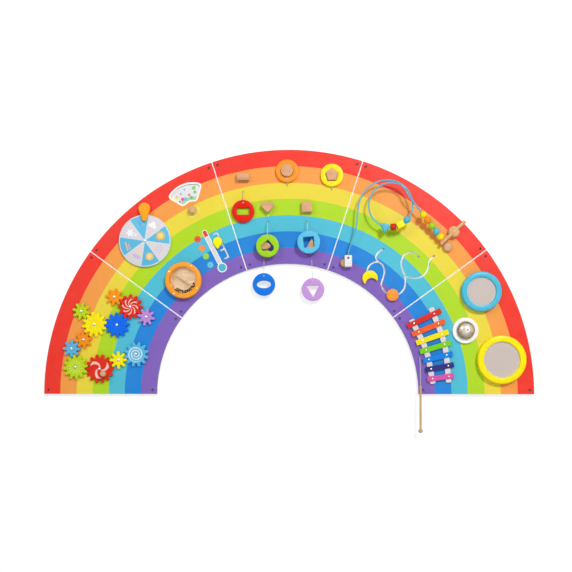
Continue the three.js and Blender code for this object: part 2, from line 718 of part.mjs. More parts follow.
/** Disc with its hole, and the cord that runs from its rim back through the hole in the panel. */
function addShapeDisc(set) {
  const seated = set.hang === undefined;
  const back = SEAT + (set.proud || 0);
  const middle = back + DISC_THICKNESS / 2;
  const drop = seated ? -CORD_DROP : set.hang;
  const rim = Math.sign(drop) * (DISC_RADIUS - CORD_TIE);
  const span = drop - rim;
  const plate = prism(disc(DISC_RADIUS), back, back + DISC_THICKNESS, 10);
  const upright = prism(PEG_SHAPES[set.shape](PEG_FIT), back - 1, back + DISC_THICKNESS + 1, 6);
  const opening = upright.rotate([0, 0, seated ? 0 : 180 + (set.twist || 0)]);
  const rise = middle - FRONT - CORD_LEAD;
  const route = [
    new THREE.Vector3(0, drop, FRONT + CORD_LEAD),
    new THREE.Vector3(0, drop - span * 0.08, FRONT + CORD_LEAD + rise * 0.5),
    new THREE.Vector3(0, drop - span * 0.4, FRONT + CORD_LEAD + rise * 0.9),
    new THREE.Vector3(0, rim, middle),
  ];
  const cord = tube(route, CORD_RADIUS, 5, 5).add(cordStub(new THREE.Vector2(0, drop)));
  const sway = set.sway || 0;
  const place = seated ? set.peg : cordHole(set).add(at(sway - 90, drop));
  addPart(set.name, plate.subtract(opening).add(cord), set.finish, place, sway);
}

// Bead panel: one wire bent into a loop, its beads, and a track for the sun and the moon

const LOOP_CENTRE = at(61.3, BOARD_RADIUS - LOOP_INSET);
const LOOP_LEVEL = FRONT + WIRE_HEIGHT;
const RUN_STEP = at(WIRE_RUN_ANGLE, 1);
const RUN_START = new THREE.Vector2(WIRE_LOOP_RADIUS - WIRE_RUN_INSET, WIRE_RUN_RISE);
const RUN_TOP_LEVEL = LOOP_LEVEL + WIRE_RISE;
const RUN_END_LEVEL = FRONT + WIRE_END_HEIGHT;
const SOCKET_CENTRE = at(65.4, INNER_RADIUS + SOCKET_RISE);

const loopPoint = (angle, level, radius = WIRE_LOOP_RADIUS) => {
  const p = at(angle, radius);
  return new THREE.Vector3(p.x, p.y, level);
};

/** Point on the straight run down to the stop bar, by its distance from the top of the run. */
function runPoint(distance) {
  const p = RUN_START.clone().addScaledVector(RUN_STEP, distance);
  const level = THREE.MathUtils.lerp(RUN_TOP_LEVEL, RUN_END_LEVEL, distance / WIRE_RUN);
  return new THREE.Vector3(p.x, p.y, level);
}

const RUN_DIRECTION = runPoint(WIRE_RUN).sub(runPoint(0)).normalize();

/** Route of the wire: up from its socket, once round the loop, over the top and down the run. */
function wireRoute() {
  const socketTop = SOCKET_CENTRE.clone().sub(LOOP_CENTRE);
  socketTop.y += SOCKET_HEIGHT / 2;
  const route = [
    new THREE.Vector3(socketTop.x, socketTop.y - WIRE_FOOT_DEPTH, FRONT + WIRE_FOOT_HEIGHT),
    new THREE.Vector3(socketTop.x, socketTop.y + 8, FRONT + WIRE_FOOT_HEIGHT),
    new THREE.Vector3(socketTop.x + WIRE_LEAN, socketTop.y + WIRE_CLIMB, LOOP_LEVEL - 6),
  ];
  for (let angle = 173; angle > 10; angle -= 25) {
    const flare = WIRE_FLARE * ((angle - 10) / 163) ** 1.6;
    route.push(loopPoint(angle, LOOP_LEVEL, WIRE_LOOP_RADIUS + flare));
  }
  for (let angle = 4; angle >= -164; angle -= 14) {
    route.push(loopPoint(angle, LOOP_LEVEL));
  }
  for (let angle = -188; angle >= -300; angle -= 28) {
    const part = (-188 - angle) / 112;
    route.push(loopPoint(angle, LOOP_LEVEL + WIRE_RISE * (0.35 + 0.65 * part)));
  }
  for (const share of [0, 0.1, 0.2, 0.5, 1]) {
    route.push(runPoint(share * WIRE_RUN));
  }
  return route;
}

function addBeadWire() {
  addPart("bead_wire", tube(wireRoute(), WIRE_RADIUS, 60, 5), "sky", LOOP_CENTRE);
}

/** Ball with a bore along its axis. */
function ballBead(size, bore) {
  const mouth = Math.sqrt(size ** 2 - bore ** 2);
  const profile = [[bore, -mouth]];
  for (let step = 1; step < 5; step += 1) {
    const turn = Math.PI * (step / 5 - 0.5);
    profile.push([size * Math.cos(turn), size * Math.sin(turn)]);
  }
  profile.push([bore, mouth], [bore, -mouth]);
  const points = profile.map(([radius, height]) => new THREE.Vector2(radius, height));
  return new THREE.LatheGeometry(points, 8);
}

/** Turns a bead whose bore runs along y so that the bore lies along a direction through a point. */
function threaded(geometry, point, direction) {
  const turn = new THREE.Quaternion().setFromUnitVectors(new THREE.Vector3(0, 1, 0), direction);
  return solid(geometry.applyQuaternion(turn).translate(point.x, point.y, point.z));
}

const along = (angle) => new THREE.Vector3(-Math.sin(rad(angle)), Math.cos(rad(angle)), 0);

/** Bead on the loop at an angle; its bore sits inward by half the bow of the wire inside it. */
function loopBead(geometry, angle, length) {
  const bow = length ** 2 / (8 * WIRE_LOOP_RADIUS);
  return threaded(geometry, loopPoint(angle, LOOP_LEVEL, WIRE_LOOP_RADIUS - bow / 2), along(angle));
}

function easedGeometry(shape, depth, chamfer) {
  const options = {
    depth: depth - 2 * chamfer,
    bevelEnabled: true,
    bevelThickness: chamfer,
    bevelSize: chamfer,
    bevelOffset: -chamfer,
    bevelSegments: 1,
    curveSegments: 5,
  };
  return new THREE.ExtrudeGeometry(shape, options).translate(0, 0, chamfer - depth / 2);
}

/** Block of an outline, centred on its own depth. */
function plainGeometry(shape, depth) {
  const options = { depth, bevelEnabled: false, curveSegments: 5 };
  return new THREE.ExtrudeGeometry(shape, options).translate(0, 0, -depth / 2);
}

const HEART_ANGLE = -104;
const DRUM_BEAD_ANGLE = -84;
const BLOCK_BEAD_ANGLE = -64;
const BALL_ANGLE = -42;

function addLoopBeads() {
  const bored = (shape, bore) => {
    shape.holes.push(new THREE.Path().absarc(0, 0, bore, 0, 2 * Math.PI));
    return shape;
  };
  const ball = loopBead(ballBead(BALL_RADIUS, BEAD_BORE), BALL_ANGLE, 2 * BALL_RADIUS);
  addPart("bead_ball_blue", ball, "sky", LOOP_CENTRE);
  const blockShape = bored(box(BLOCK_BEAD_WIDTH, BLOCK_BEAD_WIDTH), BEAD_BORE);
  const block = easedGeometry(blockShape, BLOCK_BEAD_LENGTH, 1.5).rotateX(Math.PI / 2);
  const blockBead = loopBead(block, BLOCK_BEAD_ANGLE, BLOCK_BEAD_LENGTH);
  addPart("bead_block_yellow", blockBead, "yellow", LOOP_CENTRE);
  const drumShape = bored(disc(DRUM_BEAD_RADIUS), DRUM_BEAD_BORE);
  const drum = easedGeometry(drumShape, DRUM_BEAD_LENGTH, 1.5).rotateX(Math.PI / 2);
  addPart("bead_drum_red", loopBead(drum, DRUM_BEAD_ANGLE, DRUM_BEAD_LENGTH), "red", LOOP_CENTRE);
  const lobeRise = HEART_BEAD_WIDTH * 0.14 * HEART_BEAD_STRETCH;
  const plate = plainGeometry(heart(HEART_BEAD_WIDTH), HEART_BEAD_THICKNESS);
  plate.scale(1, HEART_BEAD_STRETCH, 1).translate(0, -lobeRise, 0);
  const bow = HEART_BEAD_WIDTH ** 2 / (8 * WIRE_LOOP_RADIUS);
  const place = loopPoint(HEART_ANGLE, LOOP_LEVEL, WIRE_LOOP_RADIUS - bow / 2);
  const heartPlate = solid(plate.rotateZ(rad(HEART_ANGLE + 90)).translate(place.x, place.y, place.z));
  const drill = new THREE.CylinderGeometry(BEAD_BORE, BEAD_BORE, 2 * HEART_BEAD_WIDTH, 8);
  addPart("bead_heart", heartPlate.subtract(threaded(drill, place, along(HEART_ANGLE))), "sky", LOOP_CENTRE);
}

const STACK_FINISHES = ["yellow", "orange", "lime", "sky", "yellow"];
const STACK_PITCH = 2 * STACK_BALL_RADIUS + STACK_GAP;

function addStackBeads() {
  const lowest = WIRE_RUN - STOP_BAR_RADIUS - CLEARANCE - STACK_BALL_RADIUS - STACK_GAP;
  for (let k = 0; k < STACK_COUNT; k += 1) {
    const place = runPoint(lowest - STACK_PITCH * (STACK_COUNT - 1 - k));
    const bead = threaded(ballBead(STACK_BALL_RADIUS, WIRE_RADIUS + 2 * CLEARANCE), place, RUN_DIRECTION);
    addPart(`stack_bead_${k + 1}`, bead, STACK_FINISHES[k % STACK_FINISHES.length], LOOP_CENTRE);
  }
}

/** White block that the wire starts in, with the dowel that pins it to the panel. */
function addWireSocket() {
  const block = easedPrism(box(SOCKET_WIDTH, SOCKET_HEIGHT), SEAT, SEAT + SOCKET_DEPTH, 1.5);
  const dowel = pin(new THREE.Vector2(-SOCKET_WIDTH / 2, -6), SOCKET_DOWEL_RADIUS, SEAT, SEAT + 20, 14);
  const drill = new THREE.CylinderGeometry(WIRE_BORE, WIRE_BORE, 24, 6);
  const foot = drill.translate(0, SOCKET_HEIGHT / 2, FRONT + WIRE_FOOT_HEIGHT);
  const front = SEAT + SOCKET_DEPTH;
  const eye = pin(new THREE.Vector2(0, SOCKET_HEIGHT / 2 - 11), 5, front - 5, front + 1, 10);
  addPart("wire_socket", cut(block.add(dowel), [solid(foot), eye]), "white", SOCKET_CENTRE);
}

/** Wooden bar across the low end of the wire, carried by a round post. */
function addBeadStop() {
  const end = runPoint(WIRE_RUN);
  const square = along(STOP_BAR_ANGLE - 90);
  const middle = end.clone().addScaledVector(square, STOP_BAR_LENGTH / 2 - STOP_BAR_OVERHANG);
  const bar = plainGeometry(disc(STOP_BAR_RADIUS), STOP_BAR_LENGTH).rotateX(Math.PI / 2);
  const post = end.clone().addScaledVector(square, STOP_POST_REACH - STOP_BAR_OVERHANG);
  const postTop = SEAT + STOP_POST_HEIGHT;
  const column = turned([
    [0, SEAT],
    [STOP_POST_RADIUS, SEAT],
    [STOP_POST_RADIUS, postTop - 6],
    [STOP_POST_RADIUS * 0.72, postTop],
    [0, postTop],
  ], 14);
  const columnGeometry = geometryOf(column).translate(post.x, post.y, 0);
  const drill = new THREE.CylinderGeometry(WIRE_BORE, WIRE_BORE, 2 * STOP_BAR_RADIUS, 6);
  const eye = threaded(drill, runPoint(WIRE_RUN - STOP_BAR_RADIUS + 2), RUN_DIRECTION);
  const body = threaded(bar, middle, square).add(solid(columnGeometry)).subtract(eye);
  addPart("bead_stop", body, "wood", LOOP_CENTRE);
}

function endKnob() {
  const centre = at(42.6, BOARD_RADIUS - END_KNOB_INSET);
  const knob = turned([
    [0, FRONT - 2],
    [END_KNOB_RADIUS * 0.7, FRONT - 2],
    [END_KNOB_RADIUS, FRONT + END_KNOB_HEIGHT * 0.45],
    [END_KNOB_RADIUS * 0.85, FRONT + END_KNOB_HEIGHT * 0.85],
    [END_KNOB_RADIUS * 0.4, FRONT + END_KNOB_HEIGHT],
    [0, FRONT + END_KNOB_HEIGHT],
  ], 12);
  return solid(geometryOf(knob).translate(centre.x, centre.y, 0));
}

// Sky track: the sun hangs in the bottom of a loop, the moon at the low end of a side branch

const SUN_LOOP = at(46.33, INNER_RADIUS + SUN_RISE);
const SUN_REST_ANGLE = 264;
const MOON_LOOP = SUN_LOOP.clone().add(new THREE.Vector2(-64.4, 45.1));
const MOON_REST_ANGLE = 200;

/** Arc about a centre from one angle to another, in degrees. */
function arcCurve(centre, radius, from, to) {
  return new THREE.EllipseCurve(centre.x, centre.y, radius, radius, rad(from), rad(to), to < from);
}

function skyTools() {
  const fromSun = (x, y) => SUN_LOOP.clone().add(new THREE.Vector2(x, y));
  const sunRun = arcCurve(SUN_LOOP, SUN_LOOP_RADIUS, 175, 365);
  const leftRun = new THREE.SplineCurve([
    fromSun(-36, 138),
    fromSun(-56, 126.5),
    fromSun(-69, 104.6),
    fromSun(-64, 89.5),
    fromSun(-44, 73.5),
    fromSun(-35.3, 49),
    fromSun(-40.5, 21),
    fromSun(-SUN_LOOP_RADIUS, 0),
  ]);
  const rightRun = new THREE.SplineCurve([
    fromSun(SUN_LOOP_RADIUS, 0),
    fromSun(46.7, 25.1),
    fromSun(36.5, 53.5),
    fromSun(32, 84.5),
    fromSun(44.5, 113.5),
    fromSun(71.4, 123.9),
    fromSun(102.6, 102.6),
  ]);
  const sideRun = new THREE.SplineCurve([
    fromSun(46.7, 25.1),
    fromSun(64, 22.7),
    fromSun(90, 20.3),
    fromSun(121, 33),
    fromSun(138.5, 61.5),
    fromSun(143.5, 91),
    fromSun(163, 110),
  ]);
  const moonRun = arcCurve(MOON_LOOP, MOON_LOOP_RADIUS, MOON_REST_ANGLE, 86);
  return [
    ...trackTools(leftRun, 8, [0]),
    ...trackTools(sunRun, 12, []),
    ...trackTools(rightRun, 6, [1]),
    ...trackTools(sideRun, 6, [1]),
    ...trackTools(moonRun, 6, [0]),
  ];
}

function addSkyMarkers() {
  const top = SEAT + SKY_MARKER_THICKNESS;
  const sun = prism(disc(SUN_RADIUS), SEAT, top, 10);
  const sunPlace = SUN_LOOP.clone().add(at(SUN_REST_ANGLE, SUN_LOOP_RADIUS));
  addPart("sun_slider", sun.add(trackFoot(new THREE.Vector2())), "orange", sunPlace);
  const bite = MOON_RADIUS * 0.8;
  const biteDrop = MOON_RADIUS * 0.82;
  const crescent = prism(disc(MOON_RADIUS), SEAT, top, 11);
  const hollow = pin(new THREE.Vector2(0, -biteDrop), bite, SEAT - 1, top + 1, 20);
  const peg = new THREE.Vector2(-4.7, 13.9);
  const moonSeat = MOON_LOOP.clone().add(at(MOON_REST_ANGLE, MOON_LOOP_RADIUS));
  const moonPlace = moonSeat.sub(peg.clone().rotateAround(new THREE.Vector2(), rad(MOON_TILT)));
  const moon = crescent.subtract(hollow).add(trackFoot(peg));
  addPart("moon_slider", moon, "yellow", moonPlace, MOON_TILT);
}

// Music panel: seven tuned bars on felt strips, a desk bell, two drums and a mallet on a cord

const BAR_FINISHES = ["pink", "navy", "blue", "lime", "yellow", "orange", "red"];
const BELL_CENTRE = at(19.8, MID_RADIUS);
const MALLET_HOLE = at(15.8, INNER_RADIUS + MALLET_HOLE_RISE);

/** Angle, inner radius, length and lean of a tuned bar, from the short low bar to the long high one. */
function barPlan(index) {
  const part = index / (BAR_COUNT - 1);
  return {
    angle: BAR_FIRST_ANGLE + BAR_STEP_ANGLE * index,
    inner: INNER_RADIUS + THREE.MathUtils.lerp(BAR_SHORT_INSET, BAR_LONG_INSET, part),
    length: THREE.MathUtils.lerp(BAR_SHORT_LENGTH, BAR_LONG_LENGTH, part),
    lean: THREE.MathUtils.lerp(BAR_FIRST_LEAN, BAR_LAST_LEAN, part),
  };
}

function addBars() {
  const level = FRONT + FELT_HEIGHT + CLEARANCE;
  for (let k = 0; k < BAR_COUNT; k += 1) {
    const plan = barPlan(k);
    const bar = easedPrism(box(plan.length, BAR_WIDTH), level, level + BAR_THICKNESS, 1);
    const centre = at(plan.angle, plan.inner + plan.length / 2);
    addPart(`bar_${BAR_FINISHES[k]}`, bar, BAR_FINISHES[k], centre, plan.angle + plan.lean);
  }
}

/** Felt strip that crosses under every bar at the same share of its length. */
function feltStrip(share) {
  const first = barPlan(-0.55);
  const last = barPlan(BAR_COUNT - 0.45);
  const near = (plan, side) => at(plan.angle, plan.inner + plan.length * share + (side * FELT_WIDTH) / 2);
  const plans = [first, barPlan((BAR_COUNT - 1) / 2), last];
  const far = plans.map((plan) => near(plan, 1));
  const close = plans.map((plan) => near(plan, -1)).reverse();
  return prism(new THREE.Shape([...far, ...close]), FRONT - 1, FRONT + FELT_HEIGHT);
}

function addBell() {
  const baseTop = SEAT + BELL_BASE_HEIGHT;
  const rim = baseTop + BELL_LIFT;
  const crown = rim + BELL_DOME_HEIGHT;
  const postTop = crown - BELL_WALL - BELL_POST_GAP;
  const bore = BUTTON_STEM_RADIUS + CLEARANCE;
  const stemFoot = baseTop + 6;
  addPart("bell_base", turned([
    [0, SEAT],
    [BELL_BASE_RADIUS, SEAT],
    [BELL_BASE_RADIUS, baseTop - 2],
    [BELL_BASE_RADIUS - 2, baseTop],
    [BELL_POST_RADIUS, baseTop],
    [BELL_POST_RADIUS, postTop],
    [bore, postTop],
    [bore, stemFoot - BUTTON_TRAVEL - 1],
    [0, stemFoot - BUTTON_TRAVEL - 1],
  ], 16), "white", BELL_CENTRE);
  const outer = [];
  const inner = [];
  for (let step = 0; step <= 3; step += 1) {
    const turn = (Math.PI / 2) * (step / 3);
    const outerRadius = BELL_DOME_RADIUS * Math.cos(turn);
    const outerHeight = rim + BELL_DOME_HEIGHT * Math.sin(turn);
    const innerRadius = (BELL_DOME_RADIUS - BELL_WALL) * Math.cos(turn);
    const innerHeight = rim + (BELL_DOME_HEIGHT - BELL_WALL) * Math.sin(turn);
    outer.push([Math.max(outerRadius, bore), outerHeight]);
    inner.unshift([Math.max(innerRadius, bore), innerHeight]);
  }
  addPart("bell_dome", turned([...outer, ...inner, outer[0]], 16), "chrome", BELL_CENTRE);
  const capSeat = crown + BUTTON_TRAVEL + CLEARANCE;
  addPart("bell_button", turned([
    [0, stemFoot],
    [BUTTON_STEM_RADIUS, stemFoot],
    [BUTTON_STEM_RADIUS, capSeat],
    [BUTTON_RADIUS, capSeat],
    [BUTTON_RADIUS, capSeat + BUTTON_HEIGHT * 0.6],
    [BUTTON_RADIUS * 0.7, capSeat + BUTTON_HEIGHT],
    [0, capSeat + BUTTON_HEIGHT],
  ], 12), "white", BELL_CENTRE);
}

/** Round wooden hoop with a ledge inside, and the drum head that lies on the ledge. */
function addDrum(name, finish, centre, radius, opening) {
  const top = SEAT + DRUM_HEIGHT;
  const headTop = top - DRUM_RECESS;
  const ledge = headTop - DRUM_HEAD_THICKNESS - CLEARANCE;
  const ease = 3;
  addPart(`${name}_hoop`, turned([
    [opening - DRUM_LEDGE, SEAT],
    [radius, SEAT],
    [radius, top - ease],
    [radius - ease, top],
    [opening, top],
    [opening, ledge],
    [opening - DRUM_LEDGE, ledge],
    [opening - DRUM_LEDGE, SEAT],
  ], 20), finish, centre);
  const head = prism(disc(opening - CLEARANCE), ledge + CLEARANCE, headTop, 10);
  addPart(`${name}_head`, head, "grey", centre);
}

/** Stick with a ball on its low end, hung from the panel by a cord through its top. */
function addMallet() {
  const level = FRONT + MALLET_STANDOFF;
  const route = [
    new THREE.Vector3(0, 0, FRONT + CORD_LEAD),
    new THREE.Vector3(0, -3, FRONT + MALLET_STANDOFF * 0.35),
    new THREE.Vector3(0, -MALLET_CORD_LENGTH * 0.3, FRONT + MALLET_STANDOFF * 0.75),
    new THREE.Vector3(0, -MALLET_CORD_LENGTH * 0.65, level - 1),
    new THREE.Vector3(0, -MALLET_CORD_LENGTH - 4, level),
  ];
  const half = MALLET_STICK_RADIUS * 0.7;
  const stick = new THREE.LatheGeometry([
    new THREE.Vector2(0, 0),
    new THREE.Vector2(half, 0),
    new THREE.Vector2(MALLET_STICK_RADIUS, -3),
    new THREE.Vector2(MALLET_STICK_RADIUS, -MALLET_STICK_LENGTH + MALLET_BALL_RADIUS),
    new THREE.Vector2(0, -MALLET_STICK_LENGTH + MALLET_BALL_RADIUS),
  ], 8).translate(0, -MALLET_CORD_LENGTH, level);
  const ball = new THREE.SphereGeometry(MALLET_BALL_RADIUS, 8, 6);
  ball.translate(0, -MALLET_CORD_LENGTH - MALLET_STICK_LENGTH + MALLET_BALL_RADIUS, level);
  const cord = tube(route, CORD_RADIUS, 6, 5).add(cordStub(new THREE.Vector2()));
  const body = joined([solid(stick), solid(ball), cord]);
  addPart("mallet", body, "wood", MALLET_HOLE);
}

// Put the board together, panel by panel from the left

layOutGears();
addPanel("panel_gears", 0, GEARS.map((gear) => axle(gear.centre, GEAR_THICKNESS)), []);
addGears();

addPanel("panel_weather", 1, [axle(WHEEL_CENTRE, WHEEL_THICKNESS), rainAxle()], [
  ...seasonTools(),
  ...combTools(),
]);
addWeatherWheel();
addSeasonDisc();
addRainWheel();
addTemperatureMarker();

addPanel("panel_shapes", 2, shapePegs(), SHAPE_SETS.map((set) => cordHoleTool(cordHole(set))));
SHAPE_SETS.forEach(addShapeDisc);

addPanel("panel_beads", 3, [endKnob()], skyTools());
addBeadWire();
addLoopBeads();
addStackBeads();
addWireSocket();
addBeadStop();
addSkyMarkers();

addPanel("panel_music", 4, [feltStrip(0.2), feltStrip(0.8)], [cordHoleTool(MALLET_HOLE)]);
addBars();
addBell();
const BLUE_DRUM_CENTRE = at(28, BOARD_RADIUS - BLUE_DRUM_INSET);
const YELLOW_DRUM_CENTRE = at(9.3, BOARD_RADIUS - YELLOW_DRUM_INSET);
addDrum("drum_blue", "sky", BLUE_DRUM_CENTRE, BLUE_DRUM_RADIUS, BLUE_DRUM_OPENING);
addDrum("drum_yellow", "yellow", YELLOW_DRUM_CENTRE, YELLOW_DRUM_RADIUS, YELLOW_DRUM_OPENING);
addMallet();

export default activityBoard;
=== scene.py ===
import json
import math

import bmesh
import bpy
import numpy as np
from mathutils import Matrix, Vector

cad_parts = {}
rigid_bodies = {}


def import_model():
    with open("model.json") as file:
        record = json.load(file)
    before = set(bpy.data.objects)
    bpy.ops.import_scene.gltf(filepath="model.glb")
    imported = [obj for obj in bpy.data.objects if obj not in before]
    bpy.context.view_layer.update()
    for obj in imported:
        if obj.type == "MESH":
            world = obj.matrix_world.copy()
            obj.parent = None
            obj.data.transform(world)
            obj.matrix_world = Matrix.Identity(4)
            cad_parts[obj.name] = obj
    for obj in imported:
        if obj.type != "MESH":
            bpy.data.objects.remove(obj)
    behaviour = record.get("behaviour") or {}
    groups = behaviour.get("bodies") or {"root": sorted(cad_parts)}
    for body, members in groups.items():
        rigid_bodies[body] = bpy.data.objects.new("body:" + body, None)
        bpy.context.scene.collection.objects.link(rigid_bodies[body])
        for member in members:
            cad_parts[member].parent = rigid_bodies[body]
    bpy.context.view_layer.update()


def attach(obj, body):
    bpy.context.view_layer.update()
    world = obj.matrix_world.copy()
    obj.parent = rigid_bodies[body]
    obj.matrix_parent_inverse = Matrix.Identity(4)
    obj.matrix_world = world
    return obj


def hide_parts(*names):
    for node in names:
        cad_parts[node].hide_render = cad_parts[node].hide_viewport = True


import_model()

# Wedge panels: five white-cored boards, 15 mm thick, screwed side by side to the wall.
# Their fronts are printed with seven arched bands of colour; the eased edges, the seams and the
# routed tracks show the white core.

ARCH_RADIUS, INNER_RADIUS, FRONT = 975.0, 520.0, 15.0
MIDDLE = (ARCH_RADIUS + INNER_RADIUS) / 2
SEAT = FRONT + 0.3
WEDGE_ANGLE, SEAM_GAP, EDGE_ROUND = 36, 0.012, 2
SCREW_INSET, SCREW_BORE, CORD_BORE = 18.0, 3, 2.5
SCREW_ROWS = (INNER_RADIUS + SCREW_INSET, ARCH_RADIUS - SCREW_INSET)
# Sizes of the painted shade: a ring about each screw hole, a dark core in it, and a spot at each track end
SCREW_SHADE, SCREW_DARK, TRACK_SHADE = SCREW_BORE * 1.8, SCREW_BORE * 1.3, 5.5
WELD = 5e-6
BANDS = [(238, 46, 28), (241, 153, 64), (231, 211, 54), (172, 213, 6), (72, 186, 209), (2, 128, 213),
         (124, 92, 182)]
CORE_WHITE = (252, 252, 250)
# Colour of the painted shade in and about the holes and at the ends of the tracks
BORE_SHADE = (50, 44, 50)


def linear(rgb):
    """Screen colour from 0 to 255 as light: ((c + 0.055) / 1.055) to the power 2.4."""
    c = np.clip(np.asarray(rgb, float) / 255, 0, 1)
    return (*np.where(c <= 0.04045, c / 12.92, ((c + 0.055) / 1.055) ** 2.4), 1.0)


class Field:
    """A number that varies over a surface; arithmetic on it adds the shader's own maths nodes."""

    def __init__(self, tree, socket):
        self.tree, self.socket = tree, socket

    def calc(self, operation, *others):
        """Result of one maths node on this field and other fields or plain numbers."""
        node = self.tree.nodes.new("ShaderNodeMath")
        node.operation = operation
        for slot, value in zip(node.inputs, (self, *others)):
            if isinstance(value, Field):
                self.tree.links.new(value.socket, slot)
            else:
                slot.default_value = value
        return Field(self.tree, node.outputs[0])

    def __add__(self, other):
        return self.calc("ADD", other)

    def __sub__(self, other):
        return self.calc("SUBTRACT", other)

    def __mul__(self, other):
        return self.calc("MULTIPLY", other)

    def __lt__(self, other):
        return self.calc("LESS_THAN", other)

    def __gt__(self, other):
        return self.calc("GREATER_THAN", other)


def surface(name, roughness=0.4, metallic=0.0, specular=0.2):
    """Plain surface with its roughness, share of metal and shine, and the tree for its colour."""
    material = bpy.data.materials.new(name)
    material.use_nodes = True
    tree = material.node_tree
    shader = tree.nodes["Principled BSDF"]
    shader.inputs["Roughness"].default_value = roughness
    shader.inputs["Metallic"].default_value = metallic
    shader.inputs["Specular IOR Level"].default_value = specular
    return material, tree, shader


def place(tree):
    """Board coordinates in millimetres: x right, y up from the arch centre, z out from the wall."""
    coordinates = tree.nodes.new("ShaderNodeTexCoord")
    split = tree.nodes.new("ShaderNodeSeparateXYZ")
    tree.links.new(coordinates.outputs["Object"], split.inputs[0])
    x, y, z = (Field(tree, socket) for socket in split.outputs)
    return x * 1000, z * 1000 + MIDDLE, y * -1000


def tint(tree, factor, below, above):
    """Blend of two colours by a field from 0 to 1."""
    node = tree.nodes.new("ShaderNodeMix")
    node.data_type = "RGBA"
    tree.links.new(factor.socket, node.inputs[0])
    for slot, colour in ((node.inputs[6], below), (node.inputs[7], above)):
        if isinstance(colour, bpy.types.NodeSocket):
            tree.links.new(colour, slot)
        else:
            slot.default_value = linear(colour)
    return node.outputs[2]


def clouds(tree, scale, stretch=(1, 1, 1), detail=3.0):
    """Noise from 0 to 1 on the piece's own coordinates, stretched along its grain."""
    coordinates = tree.nodes.new("ShaderNodeTexCoord")
    mapping = tree.nodes.new("ShaderNodeMapping")
    mapping.inputs["Scale"].default_value = stretch
    noise = tree.nodes.new("ShaderNodeTexNoise")
    noise.inputs["Scale"].default_value = scale
    noise.inputs["Detail"].default_value = detail
    tree.links.new(coordinates.outputs["Object"], mapping.inputs["Vector"])
    tree.links.new(mapping.outputs[0], noise.inputs["Vector"])
    return Field(tree, noise.outputs["Fac"])


def relief(tree, shader, height, depth):
    """Bump of a given depth in metres from a field."""
    node = tree.nodes.new("ShaderNodeBump")
    node.inputs["Strength"].default_value = 0.6
    node.inputs["Distance"].default_value = depth
    tree.links.new(height.socket, node.inputs["Height"])
    tree.links.new(node.outputs[0], shader.inputs["Normal"])


def disc_mask(x, y, centre, radius):
    """Inside a circle: the squared distance from its centre is less than the squared radius."""
    dx, dy = x - float(centre[0]), y - float(centre[1])
    return (dx * dx + dy * dy) < radius * radius


def seam_distance(x, y, radius):
    """Way along the arc to the nearest seam: the angle's share of a fifth of the half turn, folded."""
    step = math.radians(WEDGE_ANGLE)
    share = ((y.calc("ARCTAN2", x) + 8 * math.pi) * (1 / step)).calc("FRACT")
    return ((share - 0.5).calc("ABSOLUTE") * -1 + 0.5) * radius * step


def screw_bores(from_seam, radius, size):
    """Inside the circles that lie one inset from a seam and from the inner or the outer rim."""
    inner, outer = (disc_mask(from_seam, radius, (SCREW_INSET, row), size) for row in SCREW_ROWS)
    return inner.calc("MAXIMUM", outer)


def printed_front(name, prints=None, cord_bores=(), track_ends=()):
    """Arched bands by radius on the front and its eased rims; white core at the seams and in every cut, and
    painted shade in the holes and at the track ends.
    """
    material, tree, shader = surface(name, 0.5, specular=0.22)
    x, y, z = place(tree)
    radius = (x * x + y * y).calc("SQRT")
    depth_in = (radius * -1 + ARCH_RADIUS) * (1 / (ARCH_RADIUS - INNER_RADIUS))
    ramp = tree.nodes.new("ShaderNodeValToRGB")
    ramp.color_ramp.interpolation = "CONSTANT"
    tree.links.new(depth_in.socket, ramp.inputs[0])
    stops = ramp.color_ramp.elements
    stops[1].position = 1 / len(BANDS)
    for k in range(2, len(BANDS)):
        stops.new(k / len(BANDS))
    for stop, band in zip(stops, BANDS):
        stop.color = linear(band)
    grain = clouds(tree, 22, detail=5)
    colour = tint(tree, grain * 0.025, ramp.outputs[0], (255, 255, 255))
    if prints:
        colour = prints(tree, x, y, colour)
    normal = tree.nodes.new("ShaderNodeNewGeometry")
    split = tree.nodes.new("ShaderNodeSeparateXYZ")
    tree.links.new(normal.outputs["True Normal"], split.inputs[0])
    from_seam = seam_distance(x, y, radius)
    facing = Field(tree, split.outputs[1]) < -0.3
    flush = facing * (z > FRONT - EDGE_ROUND - 0.1) * (from_seam > EDGE_ROUND)
    colour = tint(tree, flush, CORE_WHITE, colour)
    # Painted shade: a dark ring about each screw hole, dark walls in the screw and cord holes, and dark track
    # ends
    colour = tint(tree, screw_bores(from_seam, radius, SCREW_SHADE) * 0.55, colour, BORE_SHADE)
    painted_shade = screw_bores(from_seam, radius, SCREW_DARK)
    for spot in cord_bores:
        painted_shade = painted_shade.calc("MAXIMUM", disc_mask(x, y, spot, CORD_BORE + 0.2))
    for spot in track_ends:
        in_board = (z < FRONT - 0.1) * (z > 1)
        painted_shade = painted_shade.calc("MAXIMUM", disc_mask(x, y, spot, TRACK_SHADE) * in_board * 0.7)
    colour = tint(tree, painted_shade, colour, BORE_SHADE)
    tree.links.new(colour, shader.inputs["Base Color"])
    relief(tree, shader, clouds(tree, 900), 0.00005)
    return material


def at(angle, radius):
    """Point at an angle in degrees and a radius, or a row of points: radius * (cos, sin)."""
    turn = np.radians(angle)
    return np.stack([radius * np.cos(turn), radius * np.sin(turn)], -1)


def world(points):
    """Board millimetres to metres in the part's frame: z out of the wall is -Y, y up is Z."""
    p = np.asarray(points, float)
    return np.stack([p[..., 0], -p[..., 2], p[..., 1] - MIDDLE], -1) / 1000


